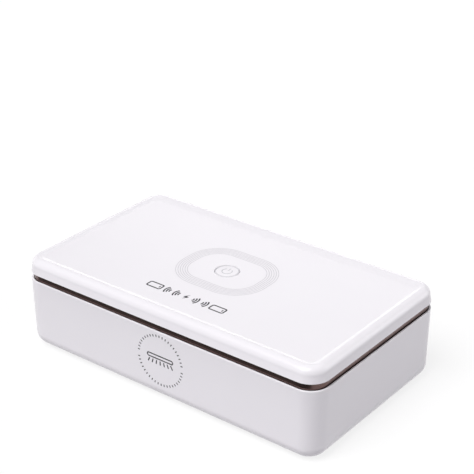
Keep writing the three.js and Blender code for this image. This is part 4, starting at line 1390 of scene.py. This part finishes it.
# %% [markdown]
# The floor is white for the eye and for mirrors, and greyer for light that bounces off it, which
# keeps the box's sides and its shadow grey. A dark card lies on it in front, seen in mirrors
# alone, as photographers put black board beside metal: it makes the front of the band nearly
# black. The shader tells by the kind of ray who is looking.

# %% Lay the floor and the card
FLOOR_COLOUR, FLOOR_GLOW, FLOOR_HALF = (0.45, 0.44, 0.46), 0.8, 4000.0
CARD_NEAR, CARD_FAR, CARD_FADE, CARD_DIM = -0.114, -0.165, 0.006, 0.93


def rays(place, kind):
    """1 for rays of one kind, 0 for the others."""
    return place.node("LightPath", output=f"Is {kind} Ray")


def seen_directly(place):
    """1 for rays that come from the eye, a mirror or a pane, and 0 for light that only bounces."""
    eye_or_mirror = place.math("MAXIMUM", rays(place, "Camera"), rays(place, "Glossy"))
    return place.math("MAXIMUM", eye_or_mirror, rays(place, "Transmission"))


def ramped(value, start, end, first, last, **settings):
    """A Map Range node: first up to the start, last from the end on, and a ramp between."""
    return value.node("MapRange", settings, {0: value, 1: start, 2: end, 3: first, 4: last})


def either(factor, first, second):
    """A Mix Shader node: the first shader at a factor of 0, the second at 1."""
    return factor.node("MixShader", {}, {0: factor, 1: first, 2: second})


floor = solids("floor", patch(
    at_heights(np.array([[(0, 0)] * 4, [(-1, -1), (1, -1), (1, 1), (-1, 1)]]) * FLOOR_HALF, 0),
))
floor_finish, floor_shader, floor_place = finish("studio_floor", FLOOR_COLOUR, roughness=0.9)
floor_shader.inputs["Specular IOR Level"].default_value = 0
direct = seen_directly(floor_place)
toned(floor_shader, direct, FLOOR_COLOUR, (1, 1, 1))
glow = floor_place.node("Emission", {}, {"Color": (1, 1, 1, 1), "Strength": 1.0})
lit_floor = Field(floor_place.tree, floor_shader.outputs[0])
shown = either(direct * FLOOR_GLOW, lit_floor, glow)
depth = floor_place.node("SeparateXYZ", {}, {0: floor_place}, output=1)
near_edge = ramped(depth, CARD_NEAR, CARD_NEAR - CARD_FADE, 0.0, CARD_DIM)
far_edge = ramped(depth, CARD_FAR, CARD_FAR + CARD_FADE, 0.0, 1.0)
dark = floor_place.node("Emission", {}, {"Strength": 0.0})
card = near_edge * far_edge * rays(floor_place, "Glossy")
shown = either(card, shown, dark)
shown.feed(floor_finish.node_tree.nodes["Material Output"], "Surface")
floor.data.materials.append(floor_finish)
print(f"floor: {2 * FLOOR_HALF * MM:.0f} m wide, card from {CARD_FAR} to {CARD_NEAR} m")

# %% [markdown]
# The sky is white for the eye. In mirrors it is white up to the top of a backdrop and dark
# above, because a bright ceiling would wash out the lid's gloss. What it sheds on the box is
# dim and a little violet, as the shadows in the picture are.

# %% Set the sky
SKY, SKY_TINT = 0.26, (0.97, 0.94, 1.0)
CEILING_DIM, BACKDROP_TOP, BACKDROP_FADE = 0.04, 11, 8
world = bpy.data.worlds.new("studio_sky")
world.use_nodes = True
bpy.context.scene.world = world
sky = Field(world.node_tree)
seen = world.node_tree.nodes["Background"]
seen.inputs["Color"].default_value = (1, 1, 1, 1)
upwards = sky.node("SeparateXYZ", {}, {0: sky.node("TexCoord")}, output=2)
edges = np.sin(np.radians([BACKDROP_TOP - BACKDROP_FADE / 2, BACKDROP_TOP + BACKDROP_FADE / 2]))
mirrored = ramped(upwards, *edges, 1.0, CEILING_DIM, interpolation_type="SMOOTHSTEP")
sky.math("MAXIMUM", mirrored, rays(sky, "Camera")).feed(seen, "Strength")
lit = sky.node("Background", {}, {"Color": (*SKY_TINT, 1), "Strength": SKY})
white = Field(world.node_tree, seen.outputs[0])
shown = either(seen_directly(sky), lit, white)
shown.feed(world.node_tree.nodes["World Output"], "Surface")
bpy.context.scene.view_settings.view_transform = "Standard"
print(f"sky: strength {SKY}, backdrop up to {BACKDROP_TOP} degrees")
